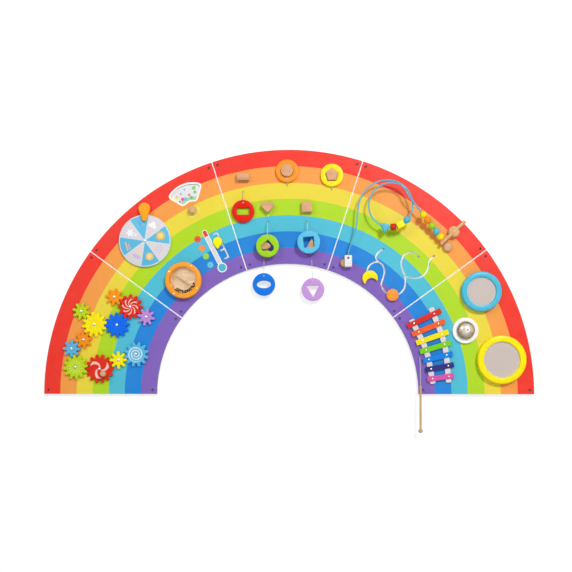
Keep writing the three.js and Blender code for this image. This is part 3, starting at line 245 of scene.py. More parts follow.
def shell(name, rings, loop=False):
    """Surface through closed rings of equal count, square by square from each ring to the next.
    The last ring joins the first, or a fan about its mean point closes each end."""
    rings = np.asarray(rings, float)
    count, around = rings.shape[:2]
    index = np.arange(count * around).reshape(count, around)
    rows = np.vstack([index, index[:1]]) if loop else index
    near, far = rows[:-1], rows[1:]
    quads = np.stack([near, np.roll(near, -1, 1), np.roll(far, -1, 1), far], -1).reshape(-1, 4)
    points = rings.reshape(-1, 3)
    fans = np.zeros((0, 3), int)
    if not loop:
        points = np.vstack([points, rings[0].mean(0), rings[-1].mean(0)])
        start, end = np.full(around, len(points) - 2), np.full(around, len(points) - 1)
        fans = np.vstack([
            np.stack([np.roll(index[0], -1), index[0], start], -1),
            np.stack([index[-1], np.roll(index[-1], -1), end], -1),
        ])
    triangles = np.vstack([quads[:, [0, 1, 2]], quads[:, [0, 2, 3]], fans])
    a, b, c = (points[triangles[:, k]] for k in range(3))
    if np.einsum("ij,ij->", a, np.cross(b, c)) < 0:
        quads, fans = quads[:, ::-1], fans[:, ::-1]
    mesh = bpy.data.meshes.new(name)
    mesh.from_pydata(world(points).tolist(), [], quads.tolist() + fans.tolist())
    return mesh


def shade(mesh, material, sharp=38):
    """Smooth shading but for edges that turn by more than an angle in degrees, and one material."""
    mesh.shade_smooth()
    mesh.set_sharp_from_angle(angle=math.radians(sharp))
    mesh.materials.clear()
    mesh.materials.append(material)


def skin(name, rings, material, body, nodes=(), loop=False, sharp=38):
    """A piece of the part: a shell with its material, riding on a body and standing in for its nodes."""
    mesh = shell(name, rings, loop)
    shade(mesh, material, sharp)
    piece = bpy.data.objects.new(name, mesh)
    bpy.context.collection.objects.link(piece)
    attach(piece, body)
    if nodes:
        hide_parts(*nodes)
    return piece


def inset(outline, distance):
    """Closed outline moved inwards: each corner along the mean of its two edge normals, mitred."""
    edge = np.roll(outline, -1, 0) - outline
    edge /= np.linalg.norm(edge, axis=1, keepdims=True)
    normal = np.stack([-edge[:, 1], edge[:, 0]], -1)
    before = np.roll(normal, 1, 0)
    mitre = np.maximum(1 + (normal * before).sum(1, keepdims=True), 0.5)
    return outline + distance * (normal + before) / mitre


def plate(name, outline, low, high, edge, material, body, nodes=(), hole=None, sharp=38):
    """Flat piece: its outline carried from back to front, drawn in by a quarter round at both faces."""
    turn = np.linspace(0, np.pi / 2, 4)
    draw, rise = edge * (1 - np.sin(turn)), edge * (1 - np.cos(turn))
    levels = np.r_[low + rise, (high - rise)[::-1]]
    draws = np.r_[draw, draw[::-1]]
    rings = [np.c_[inset(outline, d), np.full(len(outline), z)] for d, z in zip(draws, levels)]
    if hole is not None:
        rings += [np.c_[inset(hole, -d), np.full(len(hole), z)] for d, z in zip(draws, levels)][::-1]
    return skin(name, rings, material, body, nodes, loop=hole is not None, sharp=sharp)


def circle(radius, count=96, centre=(0, 0)):
    """Round outline: centre + radius * (cos, sin) at even angles."""
    turn = np.linspace(0, 2 * np.pi, count, endpoint=False)
    return np.c_[np.cos(turn), np.sin(turn)] * radius + np.asarray(centre)


def bore(centre, radius, low, high):
    """Round cutter: one circle at a low level and one at a high level."""
    return [np.c_[circle(radius, 40, centre), np.full(40, z)] for z in (low, high)]


def through(centre, radius):
    """Round cutter that goes through the whole board."""
    return bore(centre, radius, -1, FRONT + 1)


def wedge(number, node, material, cutters=()):
    """Board between two seams, counted from the left: two arcs with quarter-round edges, less its screw
    holes and cuts. Points that a cut leaves closer than a hair's breadth are welded."""
    left = 180 - WEDGE_ANGLE * number
    first, last = left - WEDGE_ANGLE + SEAM_GAP, left - SEAM_GAP
    sweep = np.linspace(first, last, 120)
    outline = np.vstack([at(sweep, ARCH_RADIUS), at(sweep[::-1], INNER_RADIUS)])
    piece = plate(node + "_board", outline, 0, FRONT, EDGE_ROUND, material, "board", (node,))
    inside = [(row, math.degrees(SCREW_INSET / row)) for row in SCREW_ROWS]
    holes = [through(at(a, row), SCREW_BORE) for row, d in inside for a in (first + d, last - d)]
    box = bpy.data.collections.new("cutters")
    bpy.context.scene.collection.children.link(box)
    for k, rings in enumerate(holes + list(cutters)):
        box.objects.link(bpy.data.objects.new(f"cutter_{k}", shell(f"cutter_{k}", rings)))
    cut = piece.modifiers.new("cut", "BOOLEAN")
    cut.operand_type, cut.collection, cut.solver = "COLLECTION", box, "EXACT"
    mesh = bpy.data.meshes.new_from_object(piece.evaluated_get(bpy.context.evaluated_depsgraph_get()))
    piece.modifiers.clear()
    piece.data = mesh
    form = bmesh.new()
    form.from_mesh(mesh)
    bmesh.ops.remove_doubles(form, verts=form.verts, dist=WELD)
    bmesh.ops.triangulate(form, faces=form.faces)
    bmesh.ops.dissolve_degenerate(form, dist=WELD, edges=form.edges)
    form.to_mesh(mesh)
    form.free()
    shade(mesh, material)
    for cutter in list(box.objects):
        bpy.data.objects.remove(cutter)
    bpy.data.collections.remove(box)


TOP_ROW, LOW_ROW = ARCH_RADIUS - 87, INNER_RADIUS + 76.5
CORD_DROP = np.array([0, -55.0])
PEG_PLACES = {
    "rectangle": at(101.45, ARCH_RADIUS - 93),
    "circle": at(90, TOP_ROW),
    "pentagon": at(78.45, TOP_ROW),
    "heart": at(95.9, MIDDLE),
    "square": at(84, MIDDLE),
    "oval": at(98.9, LOW_ROW),
    "triangle": at(80.6, LOW_ROW),
}
MALLET_HOLE = at(15.8, INNER_RADIUS + 24)
PEG_CORDS = [peg + CORD_DROP for peg in PEG_PLACES.values()]
wedge(0, "panel_gears", printed_front("gear_panel_print"))
wedge(2, "panel_shapes", printed_front("shape_panel_print", cord_bores=PEG_CORDS),
      [through(spot, CORD_BORE) for spot in PEG_CORDS])
wedge(4, "panel_music", printed_front("music_panel_print", cord_bores=[MALLET_HOLE]),
      [through(MALLET_HOLE, CORD_BORE)])

# Gears: twelve wooden gear wheels, 12 mm thick with eased edges, painted in plain colours.
# They mesh as one train; some carry a printed swirl, a spiral or short dashes.

GEAR_MODULE, GEAR_THICKNESS, GEAR_ROUND, AXLE_BORE = 7.5, 12.0, 1.4, 4.0
GEAR_TOP = SEAT + GEAR_THICKNESS
PRESSURE_ANGLE, TOOTH_ROOT, TOOTH_TIP, TOOTH_PLAY = 25, 9, 5.6, 0.3
TRAIN_START = at(172.2, MIDDLE + 7.5)


def painted(name, rgb, roughness=0.34, prints=None):
    """Satin paint: one colour clouded by a few percent, and a fine orange-peel relief."""
    material, tree, shader = surface(name, roughness)
    base = np.array(rgb, float)
    colour = tint(tree, clouds(tree, 60), base * 0.95, base * 1.03)
    if prints:
        colour = prints(tree, colour)
    tree.links.new(colour, shader.inputs["Base Color"])
    relief(tree, shader, clouds(tree, 1400), 0.00006)
    return material


def about(tree, centre):
    """Radius in millimetres and angle in radians about a point of the board, and the height above it."""
    x, y, z = place(tree)
    dx, dy = x - float(centre[0]), y - float(centre[1])
    return (dx * dx + dy * dy).calc("SQRT"), dy.calc("ARCTAN2", dx), z


def off_spoke(angle, count, turn=0.0):
    """Angle from the nearest of evenly spaced spokes: (fraction of the turn - 1/2) times the step."""
    step = 2 * math.pi / count
    return ((angle + (8 * math.pi - turn)) * (1 / step)).calc("FRACT") * step - step / 2


def swirl_print(centre, arms, twist, phase, reach, share, rgb):
    """Arms where sin(arms * angle + twist * radius + phase) rises above a share, out to a reach."""
    def paint(tree, colour):
        radius, angle, z = about(tree, centre)
        wave = (angle * arms + radius * twist + phase).calc("SINE")
        mask = (wave > share) * (radius < reach) * (radius > 7) * (z > GEAR_TOP - 0.5)
        return tint(tree, mask, colour, rgb)
    return paint


def spiral_print(centre, pitch, reach, rgb):
    """A spiral line: the fraction of radius / pitch - angle / turn stays under a share."""
    def paint(tree, colour):
        radius, angle, z = about(tree, centre)
        line = (radius * (1 / pitch) - angle * (0.5 / math.pi) + 4.0).calc("FRACT")
        mask = (line < 0.42) * (radius < reach) * (z > GEAR_TOP - 0.5)
        return tint(tree, mask * 0.85, colour, rgb)
    return paint


def spoke_print(centre, count, start, end, width, rgb):
    """Short radial dashes: within half a width of a spoke, between two radii."""
    def paint(tree, colour):
        radius, angle, z = about(tree, centre)
        aside = off_spoke(angle, count).calc("ABSOLUTE") * radius
        mask = (aside < width / 2) * (radius > start) * (radius < end) * (z > GEAR_TOP - 0.5)
        return tint(tree, mask * 0.8, colour, rgb)
    return paint


RED, LIME, SKY, ORANGE, YELLOW = (222, 44, 20), (184, 214, 18), (92, 178, 220), (246, 142, 18), (250, 232, 10)
# Each gear: its teeth, the gear that drives it, the direction in degrees from that one, its paint
GEARS = [
    ("gear_red_crank", 14, None, 0, RED),
    ("gear_lime_dotted", 12, 0, 176, LIME),
    ("gear_sky_small", 8, 1, 102, SKY),
    ("gear_orange_lower", 8, 2, 37, ORANGE),
    ("gear_yellow_dotted", 12, 3, 54, YELLOW),
    ("gear_lime_small", 8, 4, 135.5, LIME),
    ("gear_blue", 12, 4, -1.5, (4, 104, 236)),
    ("gear_red_swirl", 12, 6, 53.5, (222, 42, 24)),
    ("gear_orange_upper", 8, 7, 148.5, (248, 150, 14)),
    ("gear_lilac", 8, 7, -32.5, (186, 138, 214)),
    ("gear_yellow_small", 8, 0, 25, (250, 232, 12)),
    ("gear_sky_spiral", 12, 10, 18, (88, 182, 222)),
]
GEAR_PRINTS = {
    "gear_red_crank": (swirl_print, 3, -0.113, -1.78, 39, 0.7, (246, 196, 186)),
    "gear_lime_dotted": (spoke_print, 12, 12, 27, 2.4, (222, 234, 140)),
    "gear_yellow_dotted": (spoke_print, 9, 14, 27, 2.4, (236, 196, 60)),
    "gear_red_swirl": (swirl_print, 8, 0.3, 0, 32, 0.5, (248, 196, 188)),
    "gear_sky_spiral": (spiral_print, 10.5, 31, (220, 238, 246)),
}


def gear_outline(teeth, turn, samples=28):
    """Radius by angle: tip inside the tooth's half angle, root outside it, the involute between,
    rounded by a short running mean; half angle = a quarter pitch + inv(pressure) - inv(at radius)."""
    pitch = GEAR_MODULE * teeth / 2
    pressure = math.radians(PRESSURE_ANGLE)
    flank = np.linspace(pitch - TOOTH_ROOT, pitch + TOOTH_TIP, 60)
    slope = np.arccos(np.minimum(1, pitch * math.cos(pressure) / flank))
    half = math.pi / (2 * teeth) - TOOTH_PLAY / pitch + math.tan(pressure) - pressure - np.tan(slope) + slope
    half = half + 0.06 * np.clip((pitch - 4 - flank) / 5, 0, 1) ** 2
    angle = np.arange(teeth * samples) * 2 * math.pi / (teeth * samples)
    step = 2 * math.pi / teeth
    aside = np.abs((angle + step / 2) % step - step / 2)
    radius = np.interp(aside, half[::-1], flank[::-1])
    smooth = np.mean([np.roll(radius, k) for k in (-1, 0, 1)], axis=0)
    return np.c_[np.cos(angle + turn), np.sin(angle + turn)] * smooth[:, None]


gear_centres, gear_turns = [], []
for gear, teeth, driver, direction, rgb in GEARS:
    if driver is None:
        centre, turn = TRAIN_START, 0.0
    else:
        aim = math.radians(direction)
        driver_pitch = GEAR_MODULE * GEARS[driver][1] / 2
        own_pitch = GEAR_MODULE * teeth / 2
        centre = gear_centres[driver] + at(direction, driver_pitch + own_pitch)
        slip = math.pi * GEAR_MODULE / 2 - (gear_turns[driver] - aim) * driver_pitch
        turn = aim + math.pi + slip / own_pitch
    gear_centres.append(centre)
    gear_turns.append(turn)
    outline = gear_outline(teeth, turn)
    heading = np.arctan2(outline[:, 1], outline[:, 0])
    hub = np.c_[np.cos(heading), np.sin(heading)] * AXLE_BORE
    design, *measures = GEAR_PRINTS.get(gear, (None,))
    paint = painted(gear + "_paint", rgb, prints=design and design(centre, *measures))
    plate(gear + "_wheel", outline + centre, SEAT, GEAR_TOP, GEAR_ROUND, paint, gear, (gear,),
          hole=hub + centre)

# Gear axles: zinc-plated steel pins with domed heads, that the gears turn on.
# Each pin stands in the panel; the head keeps the gear from coming off.


def turned(name, profile, centre, material, body, nodes=(), axis=(0, 0, 1), around=56, loop=False,
           sharp=38):
    """Turned piece: centre + radius * (cos, sin) across the axis + height along it, by profile point."""
    axis = np.asarray(axis, float) / np.linalg.norm(axis)
    first = np.cross(axis, (0, 1, 0) if abs(axis[1]) < 0.9 else (1, 0, 0))
    first /= np.linalg.norm(first)
    second = np.cross(axis, first)
    turn = np.linspace(0, 2 * np.pi, around, endpoint=False)
    spokes = np.cos(turn)[:, None] * first + np.sin(turn)[:, None] * second
    profile = np.asarray(profile, float)
    rings = profile[:, None, :1] * spokes[None] + profile[:, None, 1:] * axis + np.asarray(centre, float)
    return skin(name, rings, material, body, nodes, loop=loop, sharp=sharp)


def on_board(centre, height=0.0):
    """Point of the board's face plane with its height out from the wall."""
    return (float(centre[0]), float(centre[1]), height)


def metal(name, rgb, roughness, prints=None):
    """Metal with a slightly clouded polish and tone."""
    material, tree, shader = surface(name, roughness, 1.0)
    base = np.array(rgb, float)
    colour = tint(tree, clouds(tree, 120), base * 0.94, base * 1.03)
    if prints:
        colour = prints(tree, colour)
    tree.links.new(colour, shader.inputs["Base Color"])
    polish = clouds(tree, 90) * 0.1 + (roughness - 0.05)
    tree.links.new(polish.socket, shader.inputs["Roughness"])
    relief(tree, shader, clouds(tree, 700), 0.00003)
    return material


AXLE_HEAD = [(3.4, -13.6), (3.4, -0.2), (5.4, -0.2), (5.4, 2.2), (5.15, 2.75), (4.2, 3.3), (2.4, 3.7),
             (0.5, 3.8)]
AXLE_PLAY = 0.3
axle_metal = metal("axle_zinc", (206, 204, 200), 0.36)
for (gear, *_), centre in zip(GEARS, gear_centres):
    turned(gear + "_axle_head", AXLE_HEAD, on_board(centre, GEAR_TOP + AXLE_PLAY), axle_metal, "board",
           around=28)

# Crank knob: a turned peg of bare, lacquered wood, to wind the train by hand.
# It is glued near the rim of the large red gear.


def wooden(name, rgb, stretch):
    """Bare lacquered beech: long streaks of noise along the grain over fine darker pores."""
    material, tree, shader = surface(name, 0.55)
    base = np.array(rgb, float)
    streaks = clouds(tree, 1.0, stretch, 4)
    pores = clouds(tree, 6.0, stretch, 2)
    tone = (streaks - 0.5) * 1.5 + (pores - 0.5) * 0.5 + 0.5
    tone = tone.calc("MINIMUM", 1.0).calc("MAXIMUM", 0.0)
    colour = tint(tree, tone, base * (0.86, 0.83, 0.78), base * 1.05)
    tree.links.new(colour, shader.inputs["Base Color"])
    relief(tree, shader, pores, 0.0002)
    return material


def eased(profile, steps=6):
    """Profile points joined by a Catmull-Rom curve, for a lathe's flowing line."""
    p = np.asarray(profile, float)
    p = np.vstack([2 * p[0] - p[1], p, 2 * p[-1] - p[-2]])
    t = np.linspace(0, 1, steps, endpoint=False)[None, :, None]
    a, b, c, d = (p[k:len(p) - 3 + k, None, :] for k in range(4))
    square, cube = 2 * a - 5 * b + 4 * c - d, 3 * b - a - 3 * c + d
    curve = 0.5 * (2 * b + (c - a) * t + square * t ** 2 + cube * t ** 3)
    return np.vstack([curve.reshape(-1, 2), p[-2]])


knob_wood = wooden("knob_beech", (222, 180, 138), (50, 8, 50))
crank_place = TRAIN_START + at(-43, 28)
CRANK = [(6.8, 0), (6.8, 8), (8.5, 15), (11, 20), (11, 26), (9, 30.5), (5, 32), (0.5, 32)]
turned("crank_knob_turned", eased(CRANK), on_board(crank_place, GEAR_TOP + 0.3), knob_wood,
       "gear_red_crank", ("crank_knob",), around=36)

# Weather panel: the same printed board, with a window and a pocket cut for the season disc and a comb
# of tracks routed for the temperature marker. A thermometer, four temperature dots and the white arc of
# a turning arrow are printed on it.

SEASON_CENTRE = at(117.2, ARCH_RADIUS - 149)
SEASON_POCKET, POCKET_DEPTH, SEASON_BORE = 115, 8, 6.6
WINDOW_AIM, WINDOW_SPREAD, WINDOW_MIDDLE = 111.5, 38.5, 74.5
WINDOW_REACH, WINDOW_CORNER, WINDOW_BORDER = 32.5, 9.0, 6.0
ARROW_INNER, ARROW_OUTER, ARROW_START, ARROW_END = 24, 26.4, -150, 40
TUBE_TOP, TUBE_END = np.array([-329.8, 646.6]), np.array([-259.2, 506.0])
TUBE_CASE, TUBE_GLASS, BULB_CASE, BULB = 9.6, 7.4, 19, 15.5
DOTS = [
    ((-357.9, 619.3), (226, 56, 44)),
    ((-340.6, 584.0), (244, 130, 60)),
    ((-324.0, 551.5), (140, 200, 60)),
    ((-306.7, 516.9), (90, 180, 216)),
]


def capsule_mask(x, y, start, end, radius):
    """Inside a round-ended bar: distance to the nearest point of its middle line; and the share along it."""
    run = end - start
    length = float(run @ run)
    dx, dy = x - float(start[0]), y - float(start[1])
    share = (dx * float(run[0]) + dy * float(run[1])) * (1 / length)
    share = share.calc("MAXIMUM", 0.0).calc("MINIMUM", 1.0)
    ex, ey = dx - share * float(run[0]), dy - share * float(run[1])
    return (ex * ex + ey * ey) < radius * radius, share


def weather_print(tree, x, y, colour):
    """White border round the window: distance past its rounded fan is less than the border; a turning
    arrow's arc between two radii; the thermometer as round-ended bars and discs; four ringed dots."""
    white = (250, 249, 246)
    dx, dy = x - float(SEASON_CENTRE[0]), y - float(SEASON_CENTRE[1])
    radius, angle = (dx * dx + dy * dy).calc("SQRT"), dy.calc("ARCTAN2", dx)
    across = (angle - math.radians(WINDOW_AIM)).calc("ABSOLUTE") * radius
    past_side = (across - radius * math.radians(WINDOW_SPREAD) + WINDOW_CORNER).calc("MAXIMUM", 0.0)
    past_end = (radius - WINDOW_MIDDLE).calc("ABSOLUTE") - (WINDOW_REACH - WINDOW_CORNER)
    past_end = past_end.calc("MAXIMUM", 0.0)
    past = (past_side * past_side + past_end * past_end).calc("SQRT")
    colour = tint(tree, past < WINDOW_CORNER + WINDOW_BORDER, colour, white)
    arrow = (radius > ARROW_INNER) * (radius < ARROW_OUTER)
    arrow = arrow * (angle > math.radians(ARROW_START)) * (angle < math.radians(ARROW_END))
    colour = tint(tree, arrow * 0.45, colour, white)
    case, _ = capsule_mask(x, y, TUBE_TOP, TUBE_END, TUBE_CASE)
    colour = tint(tree, case.calc("MAXIMUM", disc_mask(x, y, TUBE_END, BULB_CASE)), colour, white)
    inner, share = capsule_mask(x, y, TUBE_TOP, TUBE_END, TUBE_GLASS)
    ticks = ((share * 24).calc("FRACT") < 0.3) * (share > 0.15) * (share < 0.85)
    glass = tint(tree, ticks, (226, 226, 224), (176, 182, 186))
    colour = tint(tree, inner, colour, glass)
    colour = tint(tree, inner * (share < 0.12), colour, (226, 60, 52))
    colour = tint(tree, disc_mask(x, y, TUBE_END, BULB), colour, (74, 180, 206))
    for spot, rgb in DOTS:
        pale = np.array(rgb) * 0.75 + 62
        for size, tone in ((13, rgb), (8.5, pale), (5.0, rgb)):
            colour = tint(tree, disc_mask(x, y, spot, size), colour, tone)
    return colour


COMB_TOP, COMB_RUN, COMB_LENGTH = at(113.4, INNER_RADIUS + 184), at(-65, 1), 107.0
COMB_TOOTH = at(-155, 15)
MOUTHS = [COMB_TOP + COMB_RUN * COMB_LENGTH * k / 3 for k in range(4)]
COMB_LINES = [(COMB_TOP, MOUTHS[3])] + [(mouth, mouth + COMB_TOOTH) for mouth in MOUTHS]
SLOT_HALF, CHANNEL_HALF, CHANNEL_END = 3.1, 6.5, 3.4
CHANNEL_TOP, CHANNEL_FLOOR = FRONT - 4, FRONT - 8


def strip(path, half, corner, low, high):
    """Flat bar along a path: its half width shrinks over the last few millimetres to give round corners."""
    path = np.asarray(path, float)[:, :2]
    along = np.gradient(path, axis=0)
    along /= np.linalg.norm(along, axis=1, keepdims=True)
    across = np.stack([-along[:, 1], along[:, 0]], -1)
    gone = np.r_[0, np.cumsum(np.linalg.norm(np.diff(path, axis=0), axis=1))]
    short = np.clip(corner - np.minimum(gone, gone[-1] - gone), 0, corner * 0.999)
    width = (half - corner + np.sqrt(corner ** 2 - short ** 2))[:, None]
    left, right = path + across * width, path - across * width
    return np.stack([np.c_[side, np.full(len(path), z)]
                     for side, z in ((left, low), (right, low), (right, high), (left, high))], 1)


def slot(path):
    """Two cutters of a track: the slot in the face and under it the channel for a marker's foot, wider
    all round, so that it runs on straight past both ends."""
    path = np.asarray(path, float)[:, :2]
    share = np.linspace(1, 0, 10)[:-1, None]
    start, end = (tip + share * (tip - after) / np.linalg.norm(tip - after) * CHANNEL_END
                  for tip, after in ((path[0], path[1]), (path[-1], path[-2])))
    longer = np.vstack([start, path, end[::-1]])
    return [strip(path, SLOT_HALF, SLOT_HALF - 0.1, CHANNEL_TOP - 0.1, FRONT + 1),
            strip(longer, CHANNEL_HALF, CHANNEL_HALF - 0.1, CHANNEL_FLOOR, CHANNEL_TOP)]


def line_of(start, end, reach=4.0):
    """Straight track from one point past another, in short steps."""
    ahead = (end - start) / np.linalg.norm(end - start) * reach
    return np.linspace(start - ahead, end + ahead, 60)


window_sweep = np.linspace(WINDOW_AIM - WINDOW_SPREAD, WINDOW_AIM + WINDOW_SPREAD, 120)
window_path = SEASON_CENTRE + at(window_sweep, WINDOW_MIDDLE)
weather_cuts = [bore(SEASON_CENTRE, SEASON_POCKET, -1, POCKET_DEPTH),
                bore(SEASON_CENTRE, SEASON_BORE, 0, FRONT + 1),
                strip(window_path, WINDOW_REACH, WINDOW_CORNER, POCKET_DEPTH - 1, FRONT + 1)]
wedge(1, "panel_weather", printed_front("weather_panel_print", weather_print),
      weather_cuts + [cutter for line in COMB_LINES for cutter in slot(line_of(*line))])

# Weather wheel: a wooden disc with eight printed fields that turns on a pin under a fixed pointer.
# The fields carry plain weather signs in thin ink: sun, cloud, drops, flakes, wind, storm and mist.

WHEEL_CENTRE = at(132.8, ARCH_RADIUS - 140)
WHEEL_TOP, FIELD_TURN, LINE_HALF, RIM_START = SEAT + 12.0, 0.15, 1.3, 99.5


def wheel_print(tree, colour):
    """Eight fields by angle, every other one speckled, with pale lines between them and a pale rim."""
    radius, angle, _ = about(tree, WHEEL_CENTRE)
    field = ((angle + 8 * math.pi + FIELD_TURN) * (4 / math.pi)).calc("MODULO", 2.0) < 1.0
    spokes = (off_spoke(angle, 8, -FIELD_TURN).calc("ABSOLUTE") * -1 + math.pi / 8) * radius
    speckle = clouds(tree, 190, detail=1) > 0.57
    colour = tint(tree, speckle * 0.8, (216, 214, 217), (232, 200, 212))
    colour = tint(tree, field, colour, (92, 184, 220))
    return tint(tree, (spokes < LINE_HALF).calc("MAXIMUM", radius > RIM_START), colour, (206, 222, 230))


WHEEL = [(AXLE_BORE, SEAT), (102.5, SEAT), (104, SEAT + 1.5), (104, WHEEL_TOP - 1.8),
         (103.4, WHEEL_TOP - 0.6), (102, WHEEL_TOP), (AXLE_BORE, WHEEL_TOP)]
wheel_paint = painted("weather_wheel_paint", (150, 200, 224), 0.36, wheel_print)
turned("weather_wheel_disc", WHEEL, on_board(WHEEL_CENTRE), wheel_paint, "weather_wheel", ("weather_wheel",),
       around=128, loop=True)
turned("weather_wheel_axle_head", AXLE_HEAD, on_board(WHEEL_CENTRE, WHEEL_TOP + AXLE_PLAY), axle_metal,
       "board", around=28)


def laid(outline, centre, angle):
    """Outline turned by an angle in degrees and set on a point of the board."""
    turn = math.radians(angle)
    spin = np.array([[math.cos(turn), -math.sin(turn)], [math.sin(turn), math.cos(turn)]])
    return outline @ spin.T + np.asarray(centre)


def lobes(count, radius, swing):
    """Round outline that swings in and out a number of times: radius * (1 + swing * cos(count * angle))."""
    turn = np.linspace(0, 2 * np.pi, 96, endpoint=False)
    reach = radius * (1 + swing * np.cos(count * turn))
    return np.c_[np.cos(turn), np.sin(turn)] * reach[:, None]


def bar_outline(length, width, corner, steps=6):
    """Rectangle with round corners, run counter-clockwise from the right."""
    turn = np.linspace(0, np.pi / 2, steps)
    quarter = np.arange(4)[:, None] * np.pi / 2 + turn[None]
    signs = np.array([(1, 1), (-1, 1), (-1, -1), (1, -1)], float)
    corners = signs * (length / 2 - corner, width / 2 - corner)
    points = corners[:, None, :] + corner * np.stack([np.cos(quarter), np.sin(quarter)], -1)
    return points.reshape(-1, 2)


def teardrop(radius, length, tip=0.4, count=72):
    """Round head and a smaller round tip below it, joined by the two lines that touch both."""
    reach = length - tip
    touch = math.asin((radius - tip) / reach)
    turn = np.linspace(-touch, np.pi + touch, count)
    low = np.linspace(np.pi + touch, 2 * np.pi - touch, 14)
    head, end = (np.c_[np.cos(t), np.sin(t)] for t in (turn, low))
    head, end = head * radius, end * tip + (0, -reach)
    side = np.linspace(0, 1, 14)[1:-1, None]
    down, up = (a * (1 - side) + b * side for a, b in ((head[-1:], end[:1]), (end[-1:], head[:1])))
    return np.vstack([head, down, end, up])


CLOUD_WHITE, DROP_BLUE, MIST_LILAC = (246, 246, 250), (120, 190, 224), (206, 196, 220)
# Each field: the angle and reach of its middle, then its signs with their outlines, inks and lifts
SIGNS = [
    (17, 66, [("sun_rays", lobes(10, 17, 0.16), (248, 190, 70), 0),
              ("sun", circle(10), (250, 222, 120), 0.1)]),
    (62, 70, [("cloud_low", bar_outline(34, 13, 6.4) + (0, -4), CLOUD_WHITE, 0),
              ("cloud_high", circle(9.5) + (-1, 4), CLOUD_WHITE, 0.1)]),
    (107, 64, [("drop_left", teardrop(5, 13) + (-9, 0), DROP_BLUE, 0),
               ("drop_middle", teardrop(5, 13) + (2, 9), (110, 170, 220), 0),
               ("drop_right", teardrop(5, 13) + (12, -2), DROP_BLUE, 0)]),
    (152, 66, [("flake", lobes(6, 13, 0.36), (240, 246, 252), 0),
               ("flake_low", lobes(6, 7, 0.36) + (3, -21), (226, 236, 246), 0)]),
    (197, 68, [("wind_long", bar_outline(36, 4.5, 2.2) + (0, 8), (246, 196, 120), 0),
               ("wind_short", bar_outline(24, 4.5, 2.2) + (-4, -2), (240, 170, 150), 0)]),
    (242, 66, [("storm_low", bar_outline(34, 14, 6.9) + (0, 4), (200, 186, 222), 0),
               ("storm_bolt", bar_outline(5, 20, 2.0) + (0, -13), (250, 222, 90), 0.1)]),
    (287, 66, [("dry_sun", circle(15), (246, 196, 110), 0),
               ("dry_ring", circle(8.5), (252, 216, 150), 0.1)]),
    (332, 66, [("mist_top", bar_outline(30, 4.2, 2) + (2, 9), MIST_LILAC, 0),
               ("mist_low", bar_outline(36, 4.2, 2) + (-2, 0), (196, 206, 226), 0),
               ("mist_end", bar_outline(22, 4.2, 2) + (3, -9), MIST_LILAC, 0)]),
]
for angle, reach, patches in SIGNS:
    field_middle = WHEEL_CENTRE + at(angle, reach)
    for patch, outline, rgb, lift in patches:
        ink = painted(f"sign_{patch}_ink", rgb, 0.4)
        upright = laid(outline, field_middle, angle - 90)
        plate("sign_" + patch, upright, WHEEL_TOP - 0.3, WHEEL_TOP + 0.12 + lift, 0.05, ink, "weather_wheel")

# Weather pointer: an orange painted drop of wood that reaches over the rim of the weather wheel.
# It sits on a round spacer in the same paint, glued to the panel above the wheel.

POINTER_PLACE = WHEEL_CENTRE + (0, 127)
POINTER_LOW = WHEEL_TOP + 2.8
pointer_paint = painted("pointer_orange", (252, 164, 22))
plate("weather_pointer_drop", teardrop(23, 51, 8) + POINTER_PLACE, POINTER_LOW, POINTER_LOW + 8, 2.0,
      pointer_paint, "board", ("weather_pointer",))
SPACER = [(12, SEAT), (12, POINTER_LOW + 0.5)]
turned("weather_pointer_spacer", SPACER, on_board(POINTER_PLACE), pointer_paint, "board",
       ("weather_pointer",), around=36)

# Season disc: a 5 mm disc of board in the pocket behind the window, printed in four plain fields with
# small leaf and blossom spots. It is turned by a wooden knob whose shaft goes through the panel.

SEASON_SPOTS = [
    (at(88, 92), 8, (140, 200, 120)),
    (at(84, 76), 6, (120, 186, 110)),
    (at(103, 66), 5, (232, 110, 130)),
    (at(112, 92), 4, (170, 160, 190)),
    (at(122, 56), 7, (110, 190, 220)),
    (at(132, 62), 7, (226, 90, 150)),
    (at(140, 84), 6, (238, 206, 120)),
    (at(126, 84), 4, (206, 140, 170)),
    (at(96, 54), 6, (110, 180, 100)),
    (at(145, 64), 4, (120, 120, 150)),
    (at(30, 80), 9, (240, 200, 80)),
    (at(-40, 80), 9, (226, 130, 60)),
    (at(200, 80), 9, (240, 244, 250)),
    (at(-100, 80), 9, (120, 180, 90)),
]


def season_print(tree, colour):
    """Four fields by quarter turn, a wavy hill where radius + 4 * sin(7 * angle) stays low, and spots."""
    radius, angle, _ = about(tree, SEASON_CENTRE)
    quarter = ((angle + 8 * math.pi + 0.62) * (2 / math.pi)).calc("MODULO", 4.0)
    colour = tint(tree, quarter > 1.0, (206, 226, 234), (222, 224, 226))
    colour = tint(tree, quarter > 2.0, colour, (244, 224, 170))
    colour = tint(tree, quarter > 3.0, colour, (196, 222, 168))
    hill = (radius < 58) * ((angle * 7).calc("SINE") * 4 + radius < 60)
    colour = tint(tree, hill * 0.8, colour, (150, 202, 150))
    x, y, _ = place(tree)
    for spot, size, rgb in SEASON_SPOTS:
        colour = tint(tree, disc_mask(x, y, SEASON_CENTRE + spot, size), colour, rgb)
    return colour


SEASON_FACE = [(5, 2.7), (112, 2.7), (112, 7.4), (111.6, 7.7), (5, 7.7)]
season_card = painted("season_card", (222, 224, 226), 0.45, season_print)
turned("season_face", SEASON_FACE, on_board(SEASON_CENTRE), season_card, "season_disc", ("season_disc",),
       around=96, loop=True)
SEASON_SHAFT = [(6, -9), (6, 0.1)]
SEASON_KNOB = [(11, 0.2), (12.5, 3), (14.6, 10), (15, 16), (13.4, 21), (9.5, 23.6), (3, 24), (0.5, 24)]
turned("season_knob", np.vstack([SEASON_SHAFT, eased(SEASON_KNOB)]), on_board(SEASON_CENTRE, SEAT),
       knob_wood, "season_disc", ("season_disc",), around=40)

